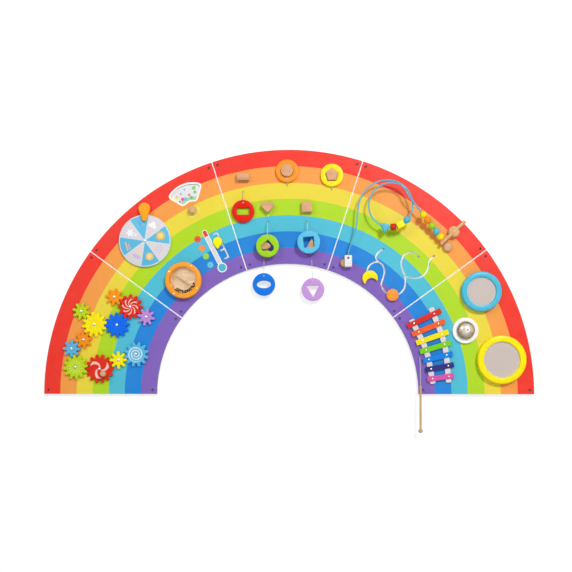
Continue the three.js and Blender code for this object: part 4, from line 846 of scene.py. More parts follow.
# Rain wheel: an orange hoop with four small screws, on a wooden floor with a slanting baffle, under a
# clear cover. Small loose beads inside patter over the baffle as it is turned.

RAIN_CENTRE = at(132.2, INNER_RADIUS + 93)
RAIN_TOP, RAIN_FLOOR_TOP = SEAT + 26, SEAT + 8
rain_paint = painted("rain_orange", (248, 160, 44))
rain_wood = wooden("rain_floor_ply", (240, 210, 174), (14, 14, 60))
RAIN_HOOP = [(52, RAIN_FLOOR_TOP - 6), (72, RAIN_FLOOR_TOP - 6), (72, RAIN_TOP - 3), (71.2, RAIN_TOP - 1),
             (69.5, RAIN_TOP), (55.4, RAIN_TOP), (55.1, RAIN_TOP - 0.4), (55, RAIN_TOP - 2.3),
             (52, RAIN_TOP - 2.3)]
turned("rain_hoop", RAIN_HOOP, on_board(RAIN_CENTRE), rain_paint, "rain_wheel", ("rain_wheel",), around=112,
       loop=True)
RAIN_FLOOR = [(71.6, SEAT), (71.6, SEAT + 2), (52.2, SEAT + 2.1), (52.2, RAIN_FLOOR_TOP)]
turned("rain_floor", RAIN_FLOOR, on_board(RAIN_CENTRE), rain_wood, "rain_wheel", ("rain_wheel",), around=96)
plate("rain_baffle", laid(bar_outline(80, 3, 0.9), RAIN_CENTRE, -33), RAIN_FLOOR_TOP - 0.5, RAIN_TOP - 2.8,
      0.6, rain_wood, "rain_wheel", ("rain_wheel",))


def clear(name):
    """Clear plastic sheet: full transmission with a faint haze of scratches."""
    material, tree, shader = surface(name, 0.04)
    shader.inputs["Transmission Weight"].default_value = 1.0
    shader.inputs["IOR"].default_value = 1.08
    shader.inputs["Base Color"].default_value = (0.98, 0.99, 1.0, 1.0)
    scratches = clouds(tree, 1.0, (300, 40, 40), 2) * 0.06 + 0.01
    tree.links.new(scratches.socket, shader.inputs["Roughness"])
    return material


RAIN_COVER = [(54.6, RAIN_TOP - 1.95), (54.6, RAIN_TOP - 0.3), (54.4, RAIN_TOP - 0.05), (0.5, RAIN_TOP)]
turned("rain_cover_sheet", RAIN_COVER, on_board(RAIN_CENTRE), clear("rain_clear"), "rain_wheel",
       ("rain_cover",), around=96)
RAIN_COLOURS = [(200, 50, 40), (60, 90, 60), (40, 60, 110), (236, 190, 40), (110, 60, 90), (60, 130, 70)]
bead_paints = [painted(f"rain_bead_{k}", rgb, 0.25) for k, rgb in enumerate(RAIN_COLOURS)]
BEAD_RADIUS, BEAD_START, BEAD_STEP, BEAD_REACH = 3.4, 226, 10.2, 48
ROW_TURN, ROW_STEP = 5, 6.4
bead_sweep = np.linspace(0.15, math.pi - 0.15, 9)
BEAD_BALL = np.c_[np.sin(bead_sweep), -np.cos(bead_sweep)] * BEAD_RADIUS
for k in range(24):
    row, step = divmod(k, 12)
    spot = RAIN_CENTRE + at(BEAD_START + BEAD_STEP * step + ROW_TURN * row, BEAD_REACH - ROW_STEP * row)
    turned(f"rain_bead_{k}", BEAD_BALL, on_board(spot, RAIN_FLOOR_TOP + BEAD_RADIUS),
           bead_paints[(5 * k + row) % len(bead_paints)], "rain_wheel", around=14)
screw_metal = metal("screw_steel", (232, 230, 226), 0.25)
SCREW_HEAD = [(3.4, -0.4), (3.4, 0.5), (2.9, 1.4), (1.8, 1.9), (0.4, 2.0)]
for angle in (61, 149, 236, 329):
    turned(f"rain_screw_{angle}", SCREW_HEAD, on_board(RAIN_CENTRE + at(angle, 65), RAIN_TOP), screw_metal,
           "rain_wheel", around=20)

# Temperature marker: a yellow painted drop of wood that is slid along the comb beside the thermometer.
# Its turned foot is held in the channel under the track.

MARKER_FOOT = at(25, 13.5)
MARKER_PLACE = MOUTHS[1] - MARKER_FOOT
plate("temperature_marker_drop", teardrop(18, 28, 4) + MARKER_PLACE, SEAT, SEAT + 10, 1.8,
      painted("marker_yellow", (250, 238, 4)), "temperature_marker", ("temperature_marker",))
TRACK_FOOT = [(5.9, -7.7), (5.9, -4.7), (2.5, -4.6), (2.5, 1)]
turned("temperature_marker_foot", TRACK_FOOT, on_board(MARKER_PLACE + MARKER_FOOT, SEAT), knob_wood,
       "temperature_marker", ("temperature_marker",), around=24)

# Shape pegs: seven blocks of bare beech, each with its own outline and eased edges.
# They are glued to the panel, and a disc with the matching hole fits over each.

PEG_LOW, PEG_TOP, PEG_ROUND = FRONT + 0.05, FRONT + 22.15, 0.9
OUTLINE_POINTS = 240


def by_heading(radius):
    """Outline from its radius at even angles: radius * (cos, sin)."""
    return circle(1.0, OUTLINE_POINTS) * radius[:, None]


def many_sided(corners, reach, start):
    """Straight-sided outline by angle: flat distance over the cosine of the angle off the side's middle."""
    turn = np.linspace(0, 2 * np.pi, OUTLINE_POINTS, endpoint=False)
    step = 2 * np.pi / corners
    off = (turn - math.radians(start)) % step - step / 2
    return by_heading(reach * math.cos(step / 2) / np.cos(off))


def by_angle(outline):
    """Outline sampled again at even angles about its own middle."""
    heading = np.arctan2(outline[:, 1], outline[:, 0]) % (2 * np.pi)
    order = np.argsort(heading)
    reach = np.hypot(outline[:, 0], outline[:, 1])
    turn = np.linspace(0, 2 * np.pi, OUTLINE_POINTS, endpoint=False)
    return by_heading(np.interp(turn, heading[order], reach[order], period=2 * np.pi))


def block_outline(width, height):
    """Rectangle by angle: the nearer of the two sides that a ray from the middle meets."""
    across = np.abs(circle(1.0, OUTLINE_POINTS)) / (width / 2, height / 2)
    return by_heading(1 / across.max(1))


def heart_outline(width, steps=80):
    """Two round lobes whose outer sides run straight, touching them, to the point below."""
    lobe, centre, rise, tip = width * 0.27, width * 0.23, width * 0.14, -width * 0.48
    fall = math.hypot(centre, rise - tip)
    start = math.atan2(tip - rise, -centre) + math.acos(lobe / fall)
    sweep = np.linspace(start, np.pi - math.acos(centre / lobe), steps)
    right = np.c_[centre + lobe * np.cos(sweep), rise + lobe * np.sin(sweep)]
    side = np.linspace(0, 1, steps)[1:-1, None]
    down = np.array([[0.0, tip]]) * (1 - side) + right[:1] * side
    half = np.vstack([[[0.0, tip]], down, right])
    mirror = (half * (-1, 1))[::-1]
    return by_angle(np.vstack([half, mirror]))


def oval_outline(width, height):
    """Oval: half width * cos across and half height * sin up."""
    return circle(1.0, OUTLINE_POINTS) * (width / 2, height / 2)


SHAPES = {
    "rectangle": lambda grow: block_outline(48 + 2 * grow, 26 + 2 * grow),
    "circle": lambda grow: circle(24 + grow, OUTLINE_POINTS),
    "pentagon": lambda grow: many_sided(5, 26 + grow / math.cos(math.pi / 5), 90),
    "heart": lambda grow: heart_outline(50 + 2 * grow),
    "square": lambda grow: block_outline(40 + 2 * grow, 40 + 2 * grow),
    "oval": lambda grow: oval_outline(54 + 2 * grow, 28 + 2 * grow),
    "triangle": lambda grow: many_sided(3, 28 + 2 * grow, 90),
}
peg_wood = wooden("peg_beech", (222, 172, 132), (12, 60, 60))
for shape, peg in PEG_PLACES.items():
    plate("peg_" + shape, SHAPES[shape](0.12) + peg, PEG_LOW, PEG_TOP, PEG_ROUND, peg_wood, "board", sharp=30)

# Shape discs: painted wooden discs, each with the hole of its own peg, on a short white cord that
# comes out of a hole in the panel. Two sit on their pegs, the others hang upside down, because the
# cord is tied to the edge that is lowest on the peg.

CORD_RADIUS, CORD_START = 1.2, FRONT - 11
DISC_RADIUS, DISC_THICKNESS, DISC_ROUND, CORD_BITE = 45.0, 12, 1.6, 8
# Each disc: its shape, its hang below the cord hole, its sway and twist in degrees, its stand-off, its paint
DISCS = [
    ("disc_red", "rectangle", 81, 0, 0, 0, (224, 22, 2)),
    ("disc_orange", "circle", None, 0, 0, 0, (252, 152, 34)),
    ("disc_yellow", "pentagon", None, 0, 0, 0, (250, 232, 8)),
    ("disc_green", "heart", 101, 0, -6, 22, (158, 212, 24)),
    ("disc_teal", "square", 87, 5, 0, 22, (92, 192, 228)),
    ("disc_blue", "oval", 97, 0, 0, 0, (8, 116, 224)),
    ("disc_lilac", "triangle", 117, 2.5, 0, 0, (198, 150, 218)),
]


def tube(name, path, radius, material, body, nodes=(), side=(0, 0, 1), around=12):
    """Round section carried along a path, square to its tangent; side is never along the path."""
    tangent = np.gradient(path, axis=0)
    tangent /= np.linalg.norm(tangent, axis=1, keepdims=True)
    across = np.cross(tangent, side)
    across /= np.linalg.norm(across, axis=1, keepdims=True)
    over = np.cross(across, tangent)
    turn = np.linspace(0, 2 * np.pi, around, endpoint=False)
    section = np.cos(turn)[:, None] * across[:, None] + np.sin(turn)[:, None] * over[:, None]
    return skin(name, path[:, None] + radius * section, material, body, nodes, sharp=60)


def braided(name, rgb):
    """White braid: the product of two sine waves that cross the cord on opposite slants."""
    material, tree, shader = surface(name, 0.8)
    x, y, _ = place(tree)
    ribs = ((y * 2.6 + x * 2.2).calc("SINE") * (y * 2.6 - x * 2.2).calc("SINE")) * 0.5 + 0.5
    base = np.array(rgb, float)
    tree.links.new(tint(tree, ribs, base * 0.93, base), shader.inputs["Base Color"])
    relief(tree, shader, ribs, 0.0003)
    return material


def smooth_path(points, steps):
    """Centripetal Catmull-Rom curve: knots a square root of the chord apart, cubic between each pair."""
    p = np.asarray(points, float)
    p = np.vstack([2 * p[0] - p[1], p, 2 * p[-1] - p[-2]])
    p0, p1, p2, p3 = (p[k:len(p) - 3 + k] for k in range(4))
    d0, d1, d2 = (np.sqrt(np.linalg.norm(b - a, axis=1, keepdims=True))
                  for a, b in ((p0, p1), (p1, p2), (p2, p3)))
    m1 = ((p1 - p0) / d0 - (p2 - p0) / (d0 + d1) + (p2 - p1) / d1) * d1
    m2 = ((p2 - p1) / d1 - (p3 - p1) / (d1 + d2) + (p3 - p2) / d2) * d1
    t = np.linspace(0, 1, steps, endpoint=False)[None, :, None]
    c0, c1 = p1[:, None], m1[:, None]
    c2 = (-3 * p1 + 3 * p2 - 2 * m1 - m2)[:, None]
    c3 = (2 * p1 - 2 * p2 + m1 + m2)[:, None]
    return np.vstack([(c0 + c1 * t + c2 * t ** 2 + c3 * t ** 3).reshape(-1, 3), p[-2]])


def hang_cord(name, route, body, nodes, material):
    """Limp cord along a smooth path through the points of its route, from inside the panel to its end."""
    path = smooth_path(route, 8)
    piece = tube(name, path, CORD_RADIUS, material, body, nodes, side=(1, 0, 0))


cord_white = braided("cord_white", (216, 211, 209))
KNOT = [(2.7, -0.3), (2.7, 0.5), (2.2, 1.4), (1.2, 1.9), (0.3, 2.0)]
for disc, shape, hang, sway, twist, proud, rgb in DISCS:
    peg = PEG_PLACES[shape]
    seated = hang is None
    drop = float(CORD_DROP[1]) if seated else hang
    centre = peg if seated else peg + CORD_DROP + at(sway - 90, hang)
    opening = SHAPES[shape](1.0)
    if not seated:
        opening = by_angle(laid(opening, (0, 0), 180 + twist + sway))
    back = SEAT + proud
    front, middle = back + DISC_THICKNESS, back + DISC_THICKNESS / 2
    paint = painted(disc + "_paint", rgb)
    plate(disc + "_plate", circle(DISC_RADIUS, OUTLINE_POINTS) + centre, back, front, DISC_ROUND, paint, disc,
          (disc,), hole=opening + centre)
    rim = math.copysign(DISC_RADIUS - 3, drop)
    cord_end = rim - math.copysign(CORD_BITE, drop)
    out = FRONT + 2.5
    span, rise = drop - rim, middle - out
    route = np.array([(0, drop, CORD_START), (0, drop, FRONT - 3), (0, drop, out),
                      (0, drop - span * 0.08, out + rise * 0.5), (0, drop - span * 0.4, out + rise * 0.9),
                      (0, rim, middle), (0, cord_end, middle)])
    route[:, :2] = laid(route[:, :2], centre, sway)
    hang_cord(disc + "_cord", route, disc, (disc,), cord_white)
    knot_place = laid(np.array([0, cord_end]), centre, sway)
    turned(disc + "_knot", KNOT, on_board(knot_place, front), cord_white, disc, around=18)

# Bead panel: the same printed board with a branching track for the sun and the moon.
# The track is routed into the face, over a wider channel that holds the feet of the two sliders.

SUN_LOOP = at(46.33, INNER_RADIUS + 90.5)
MOON_LOOP = SUN_LOOP + (-64.4, 45.1)
SUN_LOOP_RADIUS, MOON_LOOP_RADIUS, SUN_REST, MOON_REST = 47.5, 39.5, 264, 200
MOON_END, SUN_END, FAR_END = (-36, 138), (102.6, 102.6), (163, 110)
SKY_BENDS = [
    [MOON_END, (-56, 126.5), (-69, 104.6), (-64, 89.5), (-44, 73.5), (-35.3, 49), (-40.5, 21), (-46, 4.5),
     (-47.4, -4), (-46, -12)],
    [(47.5, 0), (46.7, 25.1), (36.5, 53.5), (32, 84.5), (44.5, 113.5), (71.4, 123.9), SUN_END],
    [(46.7, 25.1), (64, 22.7), (90, 20.3), (121, 33), (138.5, 61.5), (143.5, 91), FAR_END],
]
sky_paths = [smooth_path([(*(SUN_LOOP + bend), 0) for bend in bends], 14) for bends in SKY_BENDS]
sky_paths.append(SUN_LOOP + at(np.linspace(194, 365, 90), SUN_LOOP_RADIUS))
sky_paths.append(MOON_LOOP + at(np.linspace(MOON_REST + 5, 84, 60), MOON_LOOP_RADIUS))
SKY_ENDS = [SUN_LOOP + end for end in (MOON_END, SUN_END, FAR_END)]
wedge(3, "panel_beads", printed_front("bead_panel_print", track_ends=SKY_ENDS),
      [cutter for path in sky_paths for cutter in slot(path)])

# Bead wire: one steel wire, 6 mm thick, coated in blue plastic.
# It runs from its socket up and over, once round a loop, and straight down to the stop bar.

LOOP_CENTRE = at(61.3, ARCH_RADIUS - 128)
SOCKET_CENTRE = at(65.4, INNER_RADIUS + 60)
SOCKET_WIDTH, SOCKET_HEIGHT, SOCKET_LEVEL = 29, 45, FRONT + 18
WIRE_RADIUS, LOOP_RADIUS, LOOP_LEVEL, LOOP_RISE = 3.0, 86.0, FRONT + 40, 12
RUN_START, RUN_STEP, RUN_LENGTH = np.array([LOOP_RADIUS - 14, 29]), at(-50.8, 1), 217.0
RUN_HIGH, RUN_LOW = LOOP_LEVEL + LOOP_RISE, FRONT + 24
ENTRY_START, ENTRY_END, ENTRY_SPREAD = 173, 10, 37
LIFT_START, LIFT_END = -188, -300


def loop_point(angle, level=LOOP_LEVEL, radius=LOOP_RADIUS):
    """Point of the loop by its angle in degrees: radius * (cos, sin) at a level."""
    return (*at(angle, radius), level)


def run_point(distance):
    """Point of the straight run: its start plus a distance along it, the level falling evenly."""
    level = RUN_HIGH + (RUN_LOW - RUN_HIGH) * distance / RUN_LENGTH
    return np.array([*(RUN_START + RUN_STEP * distance), level])


def entry_radius(angle):
    """Radius of the wire as it comes in to the loop: wider by a power of the share of angle still to go."""
    return LOOP_RADIUS + ENTRY_SPREAD * ((angle - ENTRY_END) / (ENTRY_START - ENTRY_END)) ** 1.6


def lift_level(angle):
    """Level of the wire as it leaves the loop: higher by an even share of the angle gone."""
    return LOOP_LEVEL + LOOP_RISE * (0.35 + 0.65 * (LIFT_START - angle) / (LIFT_START - LIFT_END))


socket_x, socket_y = SOCKET_CENTRE - LOOP_CENTRE + (0, SOCKET_HEIGHT / 2)
wire_route = [(socket_x, socket_y - 10, SOCKET_LEVEL), (socket_x, socket_y + 8, SOCKET_LEVEL),
              (socket_x + 29, socket_y + 104, LOOP_LEVEL - 6)]
wire_route += [loop_point(a, radius=entry_radius(a)) for a in range(ENTRY_START, ENTRY_END, -25)]
wire_route += [loop_point(a) for a in range(4, -165, -14)]
wire_route += [loop_point(a, lift_level(a)) for a in range(LIFT_START, LIFT_END - 1, -28)]
wire_route += [run_point(share * RUN_LENGTH) for share in (0, 0.1, 0.2, 0.5, 1)]
wire_path = smooth_path(np.array(wire_route), 10) + (*LOOP_CENTRE, 0)
wire_coating = painted("wire_coating", (96, 180, 212), 0.22)
tube("bead_wire_rod", wire_path, WIRE_RADIUS, wire_coating, "board", ("bead_wire",), around=16)

# Loop beads: a heart, a barrel, a block and a ball of painted wood.
# They are threaded on the loop of the wire and slide along it.


def ball_profile(radius, hole, length):
    """Half oval of a radius and length from one end of its bore to the other, closed along the bore."""
    start = math.asin(hole / radius)
    sweep = np.linspace(start, np.pi - start, 22)
    return np.vstack([np.c_[radius * np.sin(sweep), -length / 2 * np.cos(sweep)], [[hole, 0]]])


def along(angle):
    """Direction of the wire at an angle of the loop: (-sin, cos)."""
    return np.array([*at(angle + 90, 1), 0])


def bead_place(angle, length):
    """Middle of a bead on the loop, drawn in by a share of the bow of the wire over its length."""
    point = loop_point(angle, radius=LOOP_RADIUS - length ** 2 / (16 * LOOP_RADIUS))
    return np.array(point) + (*LOOP_CENTRE, 0)


BALL_AT, BARREL_AT, BLOCK_AT, HEART_AT = -42, -84, -64, -104
BALL_RADIUS = 14.2
ball_place = bead_place(BALL_AT, 2 * BALL_RADIUS)
turned("bead_ball_turned", ball_profile(BALL_RADIUS, 4.2, 2 * BALL_RADIUS), ball_place,
       painted("ball_sky", (76, 188, 216)), "bead_ball_blue", ("bead_ball_blue",), axis=along(BALL_AT),
       around=40, loop=True)
BARREL = [(4.0, -10.4), (9.4, -10.4), (11.6, -9.2), (13, -6), (13.5, -2), (13.5, 2), (13, 6), (11.6, 9.2),
          (9.4, 10.4), (4.0, 10.4)]
turned("bead_drum_turned", BARREL, bead_place(BARREL_AT, 20), painted("barrel_red", (206, 40, 6)),
       "bead_drum_red", ("bead_drum_red",), axis=along(BARREL_AT), around=40, loop=True)
BLOCK_HALF = 13
BLOCK_RINGS = [(-15, 8.2), (-15, 11.6), (-14.4, 12.6), (-13.2, BLOCK_HALF), (13.2, BLOCK_HALF), (14.4, 12.6),
               (15, 11.6), (15, 8.2)]
square = bar_outline(2 * BLOCK_HALF, 2 * BLOCK_HALF, 3.2) / BLOCK_HALF
block_section = square[:, :1] * (*at(BLOCK_AT, 1), 0) + square[:, 1:] * (0, 0, 1)
block_rings = [bead_place(BLOCK_AT, 30) + height * along(BLOCK_AT) + block_section * half
               for height, half in BLOCK_RINGS]
skin("bead_block_cut", block_rings, painted("block_yellow", (250, 238, 4)), "bead_block_yellow",
     ("bead_block_yellow",))
HEART_WIDTH = 32
HEART_RINGS = [(0.66, -7.5), (0.8, -7.2), (0.91, -6), (0.98, -3.6), (1, 0), (0.98, 3.6), (0.91, 6),
               (0.8, 7.2), (0.66, 7.5)]
heart_place = bead_place(HEART_AT, HEART_WIDTH)[:2]
heart = (heart_outline(HEART_WIDTH) - (0, HEART_WIDTH * 0.14)) * (1, 1.35)
heart_rings = [np.c_[laid(heart * share, heart_place, HEART_AT + 90),
                     np.full(len(heart), LOOP_LEVEL + height)] for share, height in HEART_RINGS]
skin("bead_heart_cut", heart_rings, painted("heart_sky", (82, 186, 216)), "bead_heart", ("bead_heart",),
     sharp=70)

# Stacked beads: five painted wooden balls, threaded on the straight run of the wire.
# They lie on each other above the stop bar.

STACK_RADIUS, STACK_GAP, ROD_RADIUS = 13.4, 0.6, 6.8
run_direction = run_point(RUN_LENGTH) - run_point(0)
run_direction /= np.linalg.norm(run_direction)
lowest = RUN_LENGTH - ROD_RADIUS - 0.3 - STACK_RADIUS - STACK_GAP
STACK = [(250, 228, 6), (254, 146, 8), (166, 214, 14), (84, 192, 212), (250, 230, 8)]
for k, rgb in enumerate(STACK):
    bead = f"stack_bead_{k + 1}"
    middle = run_point(lowest - (2 * STACK_RADIUS + STACK_GAP) * (4 - k)) + (*LOOP_CENTRE, 0)
    turned(bead + "_turned", ball_profile(14.0, 3.5, 2 * STACK_RADIUS + 0.4), middle,
           painted(f"stack_paint_{k + 1}", rgb), bead, (bead,), axis=run_direction, around=36, loop=True)

# Wire socket: a white moulded block that holds the wire's foot, with a grey disc on its face painted as the
# shade of a hole.
# It is glued to the panel, and a wooden dowel is let into its left side.

socket_white = painted("socket_white", (232, 232, 228), 0.45)
socket_top = SEAT + 30
plate("wire_socket_block", bar_outline(SOCKET_WIDTH, SOCKET_HEIGHT, 2.5) + SOCKET_CENTRE, SEAT, socket_top,
      1.6, socket_white, "board", ("wire_socket",))
DOWEL = [(16, 0), (16, 17), (15, 19.4), (13, 20), (0.5, 20)]
turned("wire_socket_dowel", DOWEL, on_board(SOCKET_CENTRE + (-SOCKET_WIDTH / 2, -6), SEAT),
       wooden("dowel_wood", (196, 156, 96), (50, 8, 50)), "board", ("wire_socket",), around=40)
# Painted shade: a thin grey disc on the block's face where a hole shows dark
EYE = [(5, 0), (5, 0.25), (4.6, 0.4), (0.5, 0.4)]
turned("wire_socket_eye", EYE, on_board(SOCKET_CENTRE + (0, 11.5), socket_top - 0.1),
       painted("socket_hole_shade", (96, 112, 122), 0.5), "board", ("wire_socket",), around=28)

# Stop bar: a wooden rod across the low end of the wire, on a round wooden post glued to the panel.
# A round wooden knob is glued on beside it, nearer to the rim.

stop_wood = wooden("stop_beech", (234, 182, 130), (50, 8, 50))
run_end = run_point(RUN_LENGTH) + (*LOOP_CENTRE, 0)
stop_axis = np.array([*at(43, 1), 0])
ROD_SHIFT, POST_SHIFT = 48.5, 56
rod_middle = run_end + stop_axis * ROD_SHIFT
ROD = [(0.5, -65.5), (5.6, -65.5), (6.5, -64.8), (ROD_RADIUS, -63.5), (ROD_RADIUS, 63.5), (6.5, 64.8),
       (5.6, 65.5), (0.5, 65.5)]
turned("stop_rod", ROD, rod_middle, stop_wood, "board", ("bead_stop",), axis=stop_axis, around=36)
POST = [(22, 0), (22, 19), (21.4, 22), (19.4, 24.8), (16, 26), (0.5, 26)]
post_place = (run_end + stop_axis * POST_SHIFT)[:2]
turned("stop_post", POST, on_board(post_place, SEAT), stop_wood, "board", ("bead_stop",), around=48)
END_KNOB = [(12.9, 0), (16, 4), (18.3, 9.5), (17.6, 14), (15.6, 17.4), (11, 20), (6, 20.4), (0.5, 20.5)]
turned("end_knob", eased(END_KNOB), on_board(at(42.6, ARCH_RADIUS - 114), FRONT), knob_wood, "board",
       around=40)

# Sun and moon: a round and a crescent slider of painted wood, with eased edges.
# Each stands on a turned foot that is held in the channel under the routed track.

SLIDER_TOP, SUN_RADIUS, SUN_ROUND = SEAT + 13, 24, 2.0
sun_place = SUN_LOOP + at(SUN_REST, SUN_LOOP_RADIUS)


def sun_print(tree, colour):
    """Pale ring between two radii."""
    radius, _, _ = about(tree, sun_place)
    ring = (radius > 9) * (radius < 11)
    return tint(tree, ring * 0.5, colour, (252, 196, 110))


sun_paint = painted("sun_orange", (246, 148, 48), 0.36, sun_print)
plate("sun_slider_disc", circle(SUN_RADIUS) + sun_place, SEAT, SLIDER_TOP, SUN_ROUND, sun_paint, "sun_slider",
      ("sun_slider",))
MOON_RADIUS, MOON_BITE, MOON_DROP = 30.3, 24.24, 24.85
MOON_TILT, MOON_ROUND, FOOT_IN_MOON = 15, 1.8, np.array([-4.7, 13.9])
moon_foot = MOON_LOOP + at(MOON_REST, MOON_LOOP_RADIUS)
moon_place = moon_foot - laid(FOOT_IN_MOON, (0, 0), MOON_TILT)


def crescent(radius, bite, drop, blunt=1.6, count=60):
    """Outer arc and inner arc between the same two blunted horns, taken at equal shares of their length."""
    rise = (drop ** 2 + radius ** 2 - bite ** 2) / (2 * drop)
    horn = math.sqrt(radius ** 2 - rise ** 2)
    outer_end = math.atan2(-rise, horn) + blunt / radius
    inner_end = math.atan2(drop - rise, horn) + blunt / bite
    outer, inner = (np.linspace(end, np.pi - end, count) for end in (outer_end, inner_end))
    outer_arc = np.c_[np.cos(outer), np.sin(outer)] * radius
    return outer_arc, np.c_[np.cos(inner), np.sin(inner)] * bite + (0, -drop)


def eased_section(outer, inner, low, high, edge):
    """Rings across a band between two arcs: a quarter round at both faces draws each side in towards the
    other, by less where the band is narrow."""
    turn = np.linspace(0, np.pi / 2, 4)
    draw, rise = edge * (1 - np.sin(turn)), edge * (1 - np.cos(turn))
    draw, level = np.r_[draw, draw[::-1]], np.r_[low + rise, (high - rise)[::-1]]
    width = np.linalg.norm(outer - inner, axis=1, keepdims=True)
    across = ((outer - inner) / width)[:, None]
    draws = np.minimum(draw[None, :, None], width[:, None] / 2.2)
    levels = np.broadcast_to(level[None, :, None], (len(outer), len(level), 1))
    outer_side = np.concatenate([outer[:, None] - across * draws, levels], -1)
    inner_side = np.concatenate([inner[:, None] + across * draws, levels], -1)
    return np.concatenate([outer_side, inner_side[:, ::-1]], 1)


moon_arcs = crescent(MOON_RADIUS, MOON_BITE, MOON_DROP)
moon_rings = eased_section(*moon_arcs, SEAT, SLIDER_TOP, MOON_ROUND)
moon_rings[..., :2] = laid(moon_rings[..., :2], moon_place, MOON_TILT)
moon_paint = painted("moon_yellow", (250, 230, 6))
skin("moon_slider_crescent", moon_rings, moon_paint, "moon_slider", ("moon_slider",))
for slider, foot in (("sun_slider", sun_place), ("moon_slider", moon_foot)):
    turned(slider + "_foot", TRACK_FOOT, on_board(foot, SEAT), knob_wood, slider, (slider,), around=24)

# Felt strips: two soft strips of pale pressed felt, glued on the panel.
# The tuned bars are screwed down on them, so that they can ring.

FELT_HALF, FELT_TOP = 10.5, FRONT + 8
FIRST_BAR, BAR_STEP, BAR_STEPS = 6.4, 3.78, 6
BAR_START, BAR_CREEP, BAR_SHORT, BAR_GROWTH = INNER_RADIUS + 36, 11, 107, 40
BAR_HOLD = 0.3


def felt(name, rgb):
    """Pressed fibres: fine noise in the tone and a fuzzy relief, without shine."""
    material, tree, shader = surface(name, 0.95, specular=0.05)
    base = np.array(rgb, float)
    fibres = clouds(tree, 420, detail=6)
    tree.links.new(tint(tree, fibres, base * 0.9, base * 1.05), shader.inputs["Base Color"])
    relief(tree, shader, fibres, 0.0006)
    return material


def bar_line(k):
    """Angle, inner radius and length of a tuned bar, in even steps from the lowest bar to the highest."""
    share = k / BAR_STEPS
    return FIRST_BAR + BAR_STEP * k, BAR_START - BAR_CREEP * share, BAR_SHORT + BAR_GROWTH * share


def along_bar(k, share):
    """Point at a share of a bar's length."""
    angle, inner, length = bar_line(k)
    return at(angle, inner + length * share)


felt_white = felt("felt_white", (228, 220, 222))
for number, share in enumerate((0.5 - BAR_HOLD, 0.5 + BAR_HOLD)):
    felt_path = smooth_path([(*along_bar(k, share), 0) for k in (-0.55, 3, 6.55)], 40)
    felt_rings = strip(felt_path, FELT_HALF, 3, FRONT - 0.5, FELT_TOP)
    skin(f"felt_strip_{number + 1}", felt_rings, felt_white, "board")

# Tuned bars: seven flat bars of enamelled steel, longer towards the top.
# Each is held by two round-headed screws through the felt strips.

BARS = [("pink", (214, 84, 168)), ("navy", (44, 44, 122)), ("blue", (6, 128, 224)), ("lime", (120, 206, 20)),
        ("yellow", (246, 224, 8)), ("orange", (240, 96, 40)), ("red", (216, 44, 36))]
BAR_LOW = FELT_TOP + 0.3
BAR_TOP, BAR_WIDTH, BAR_ROUND, BAR_LEAN, BAR_FAN = BAR_LOW + 4, 21, 1.6, 1.4, 5.0
for k, (colour_name, rgb) in enumerate(BARS):
    angle, inner, length = bar_line(k)
    tilt = angle + BAR_LEAN - BAR_FAN * k / BAR_STEPS
    bar = "bar_" + colour_name
    middle = along_bar(k, 0.5)
    outline = laid(bar_outline(length, BAR_WIDTH, 2.4), middle, tilt)
    enamel = painted(bar + "_enamel", rgb, 0.2)
    plate(bar + "_strip", outline, BAR_LOW, BAR_TOP, BAR_ROUND, enamel, "board", (bar,), sharp=50)
    for end in (-1, 1):
        screw_place = middle + at(tilt, end * BAR_HOLD * length)
        turned(f"{bar}_screw_{end + 2}", SCREW_HEAD, on_board(screw_place, BAR_TOP), screw_metal, "board",
               around=20)

# Bell: a polished, spun steel dome on a white turned base with a hollow post.
# A sprung white push button comes up through the crown of the dome.

BELL_CENTRE = at(19.8, MIDDLE)
BELL_TOP = SEAT + 12
bell_white = painted("bell_white", (250, 250, 248), 0.3)
BASE = [(51, 0), (51, 9), (50.2, 11), (48.4, 12), (36, 12), (34, 11.4), (8.6, 11.4), (8, 12), (8, 37),
        (7, 37.4), (4.3, 37.4), (4.3, 20), (0.5, 20)]
turned("bell_base_turned", BASE, on_board(BELL_CENTRE, SEAT), bell_white, "board", ("bell_base",), around=96)


def painted_rim_reflection(tree, colour):
    """Painted reflection: browner and darker towards the rim of the polished dome, a blend by radius."""
    radius, _, _ = about(tree, BELL_CENTRE)
    outwards = ((radius - 20) * (1 / 15)).calc("MAXIMUM", 0.0).calc("MINIMUM", 1.0)
    return tint(tree, outwards * 0.8, colour, (150, 128, 104))


DOME_RADIUS, DOME_RISE, DOME_LIFT, DOME_WALL = 35, 25, 4, 1.6
sweep = np.linspace(0, np.pi / 2 - 0.12, 24)
arc = np.c_[np.cos(sweep), np.sin(sweep)]
dome_out, dome_in = (arc * (DOME_RADIUS - less, DOME_RISE - less) + (0, DOME_LIFT) for less in (0, DOME_WALL))
dome = np.vstack([[(35.6, 3.6)], dome_out, dome_in[::-1], [(34.2, 3.6)]])
# The dome's darker rim is a painted reflection, blended into the metal's colour
bell_steel = metal("bell_steel", (214, 198, 178), 0.26, painted_rim_reflection)
turned("bell_dome_spun", dome, on_board(BELL_CENTRE, BELL_TOP), bell_steel, "board", ("bell_dome",),
       around=96, loop=True, sharp=60)
CAP = BELL_TOP + DOME_LIFT + DOME_RISE + 3.8
BUTTON = [(4, BELL_TOP + 6), (4, CAP), (9.8, CAP), (10.5, CAP + 1), (10.3, CAP + 3), (9, CAP + 4.4),
          (7, CAP + 5), (3, CAP + 5), (2.6, CAP + 4.4), (0.5, CAP + 4.2)]


def button_dimple_shade(tree, colour):
    """Painted shade: grey inside a radius, in the dimple on the button's top."""
    radius, _, _ = about(tree, BELL_CENTRE)
    return tint(tree, radius < 3.2, colour, (126, 124, 122))


# The button's grey centre is painted shade in its dimple
button_white = painted("button_white", (250, 250, 248), 0.4, button_dimple_shade)
turned("bell_button_turned", BUTTON, on_board(BELL_CENTRE), button_white, "bell_button", ("bell_button",),
       around=40)

# Drums: two turned wooden hoops, one painted blue and one yellow, fixed flat on the panel.
# A head of matt grey film is glued to a ledge inside each hoop, a little below its rim.


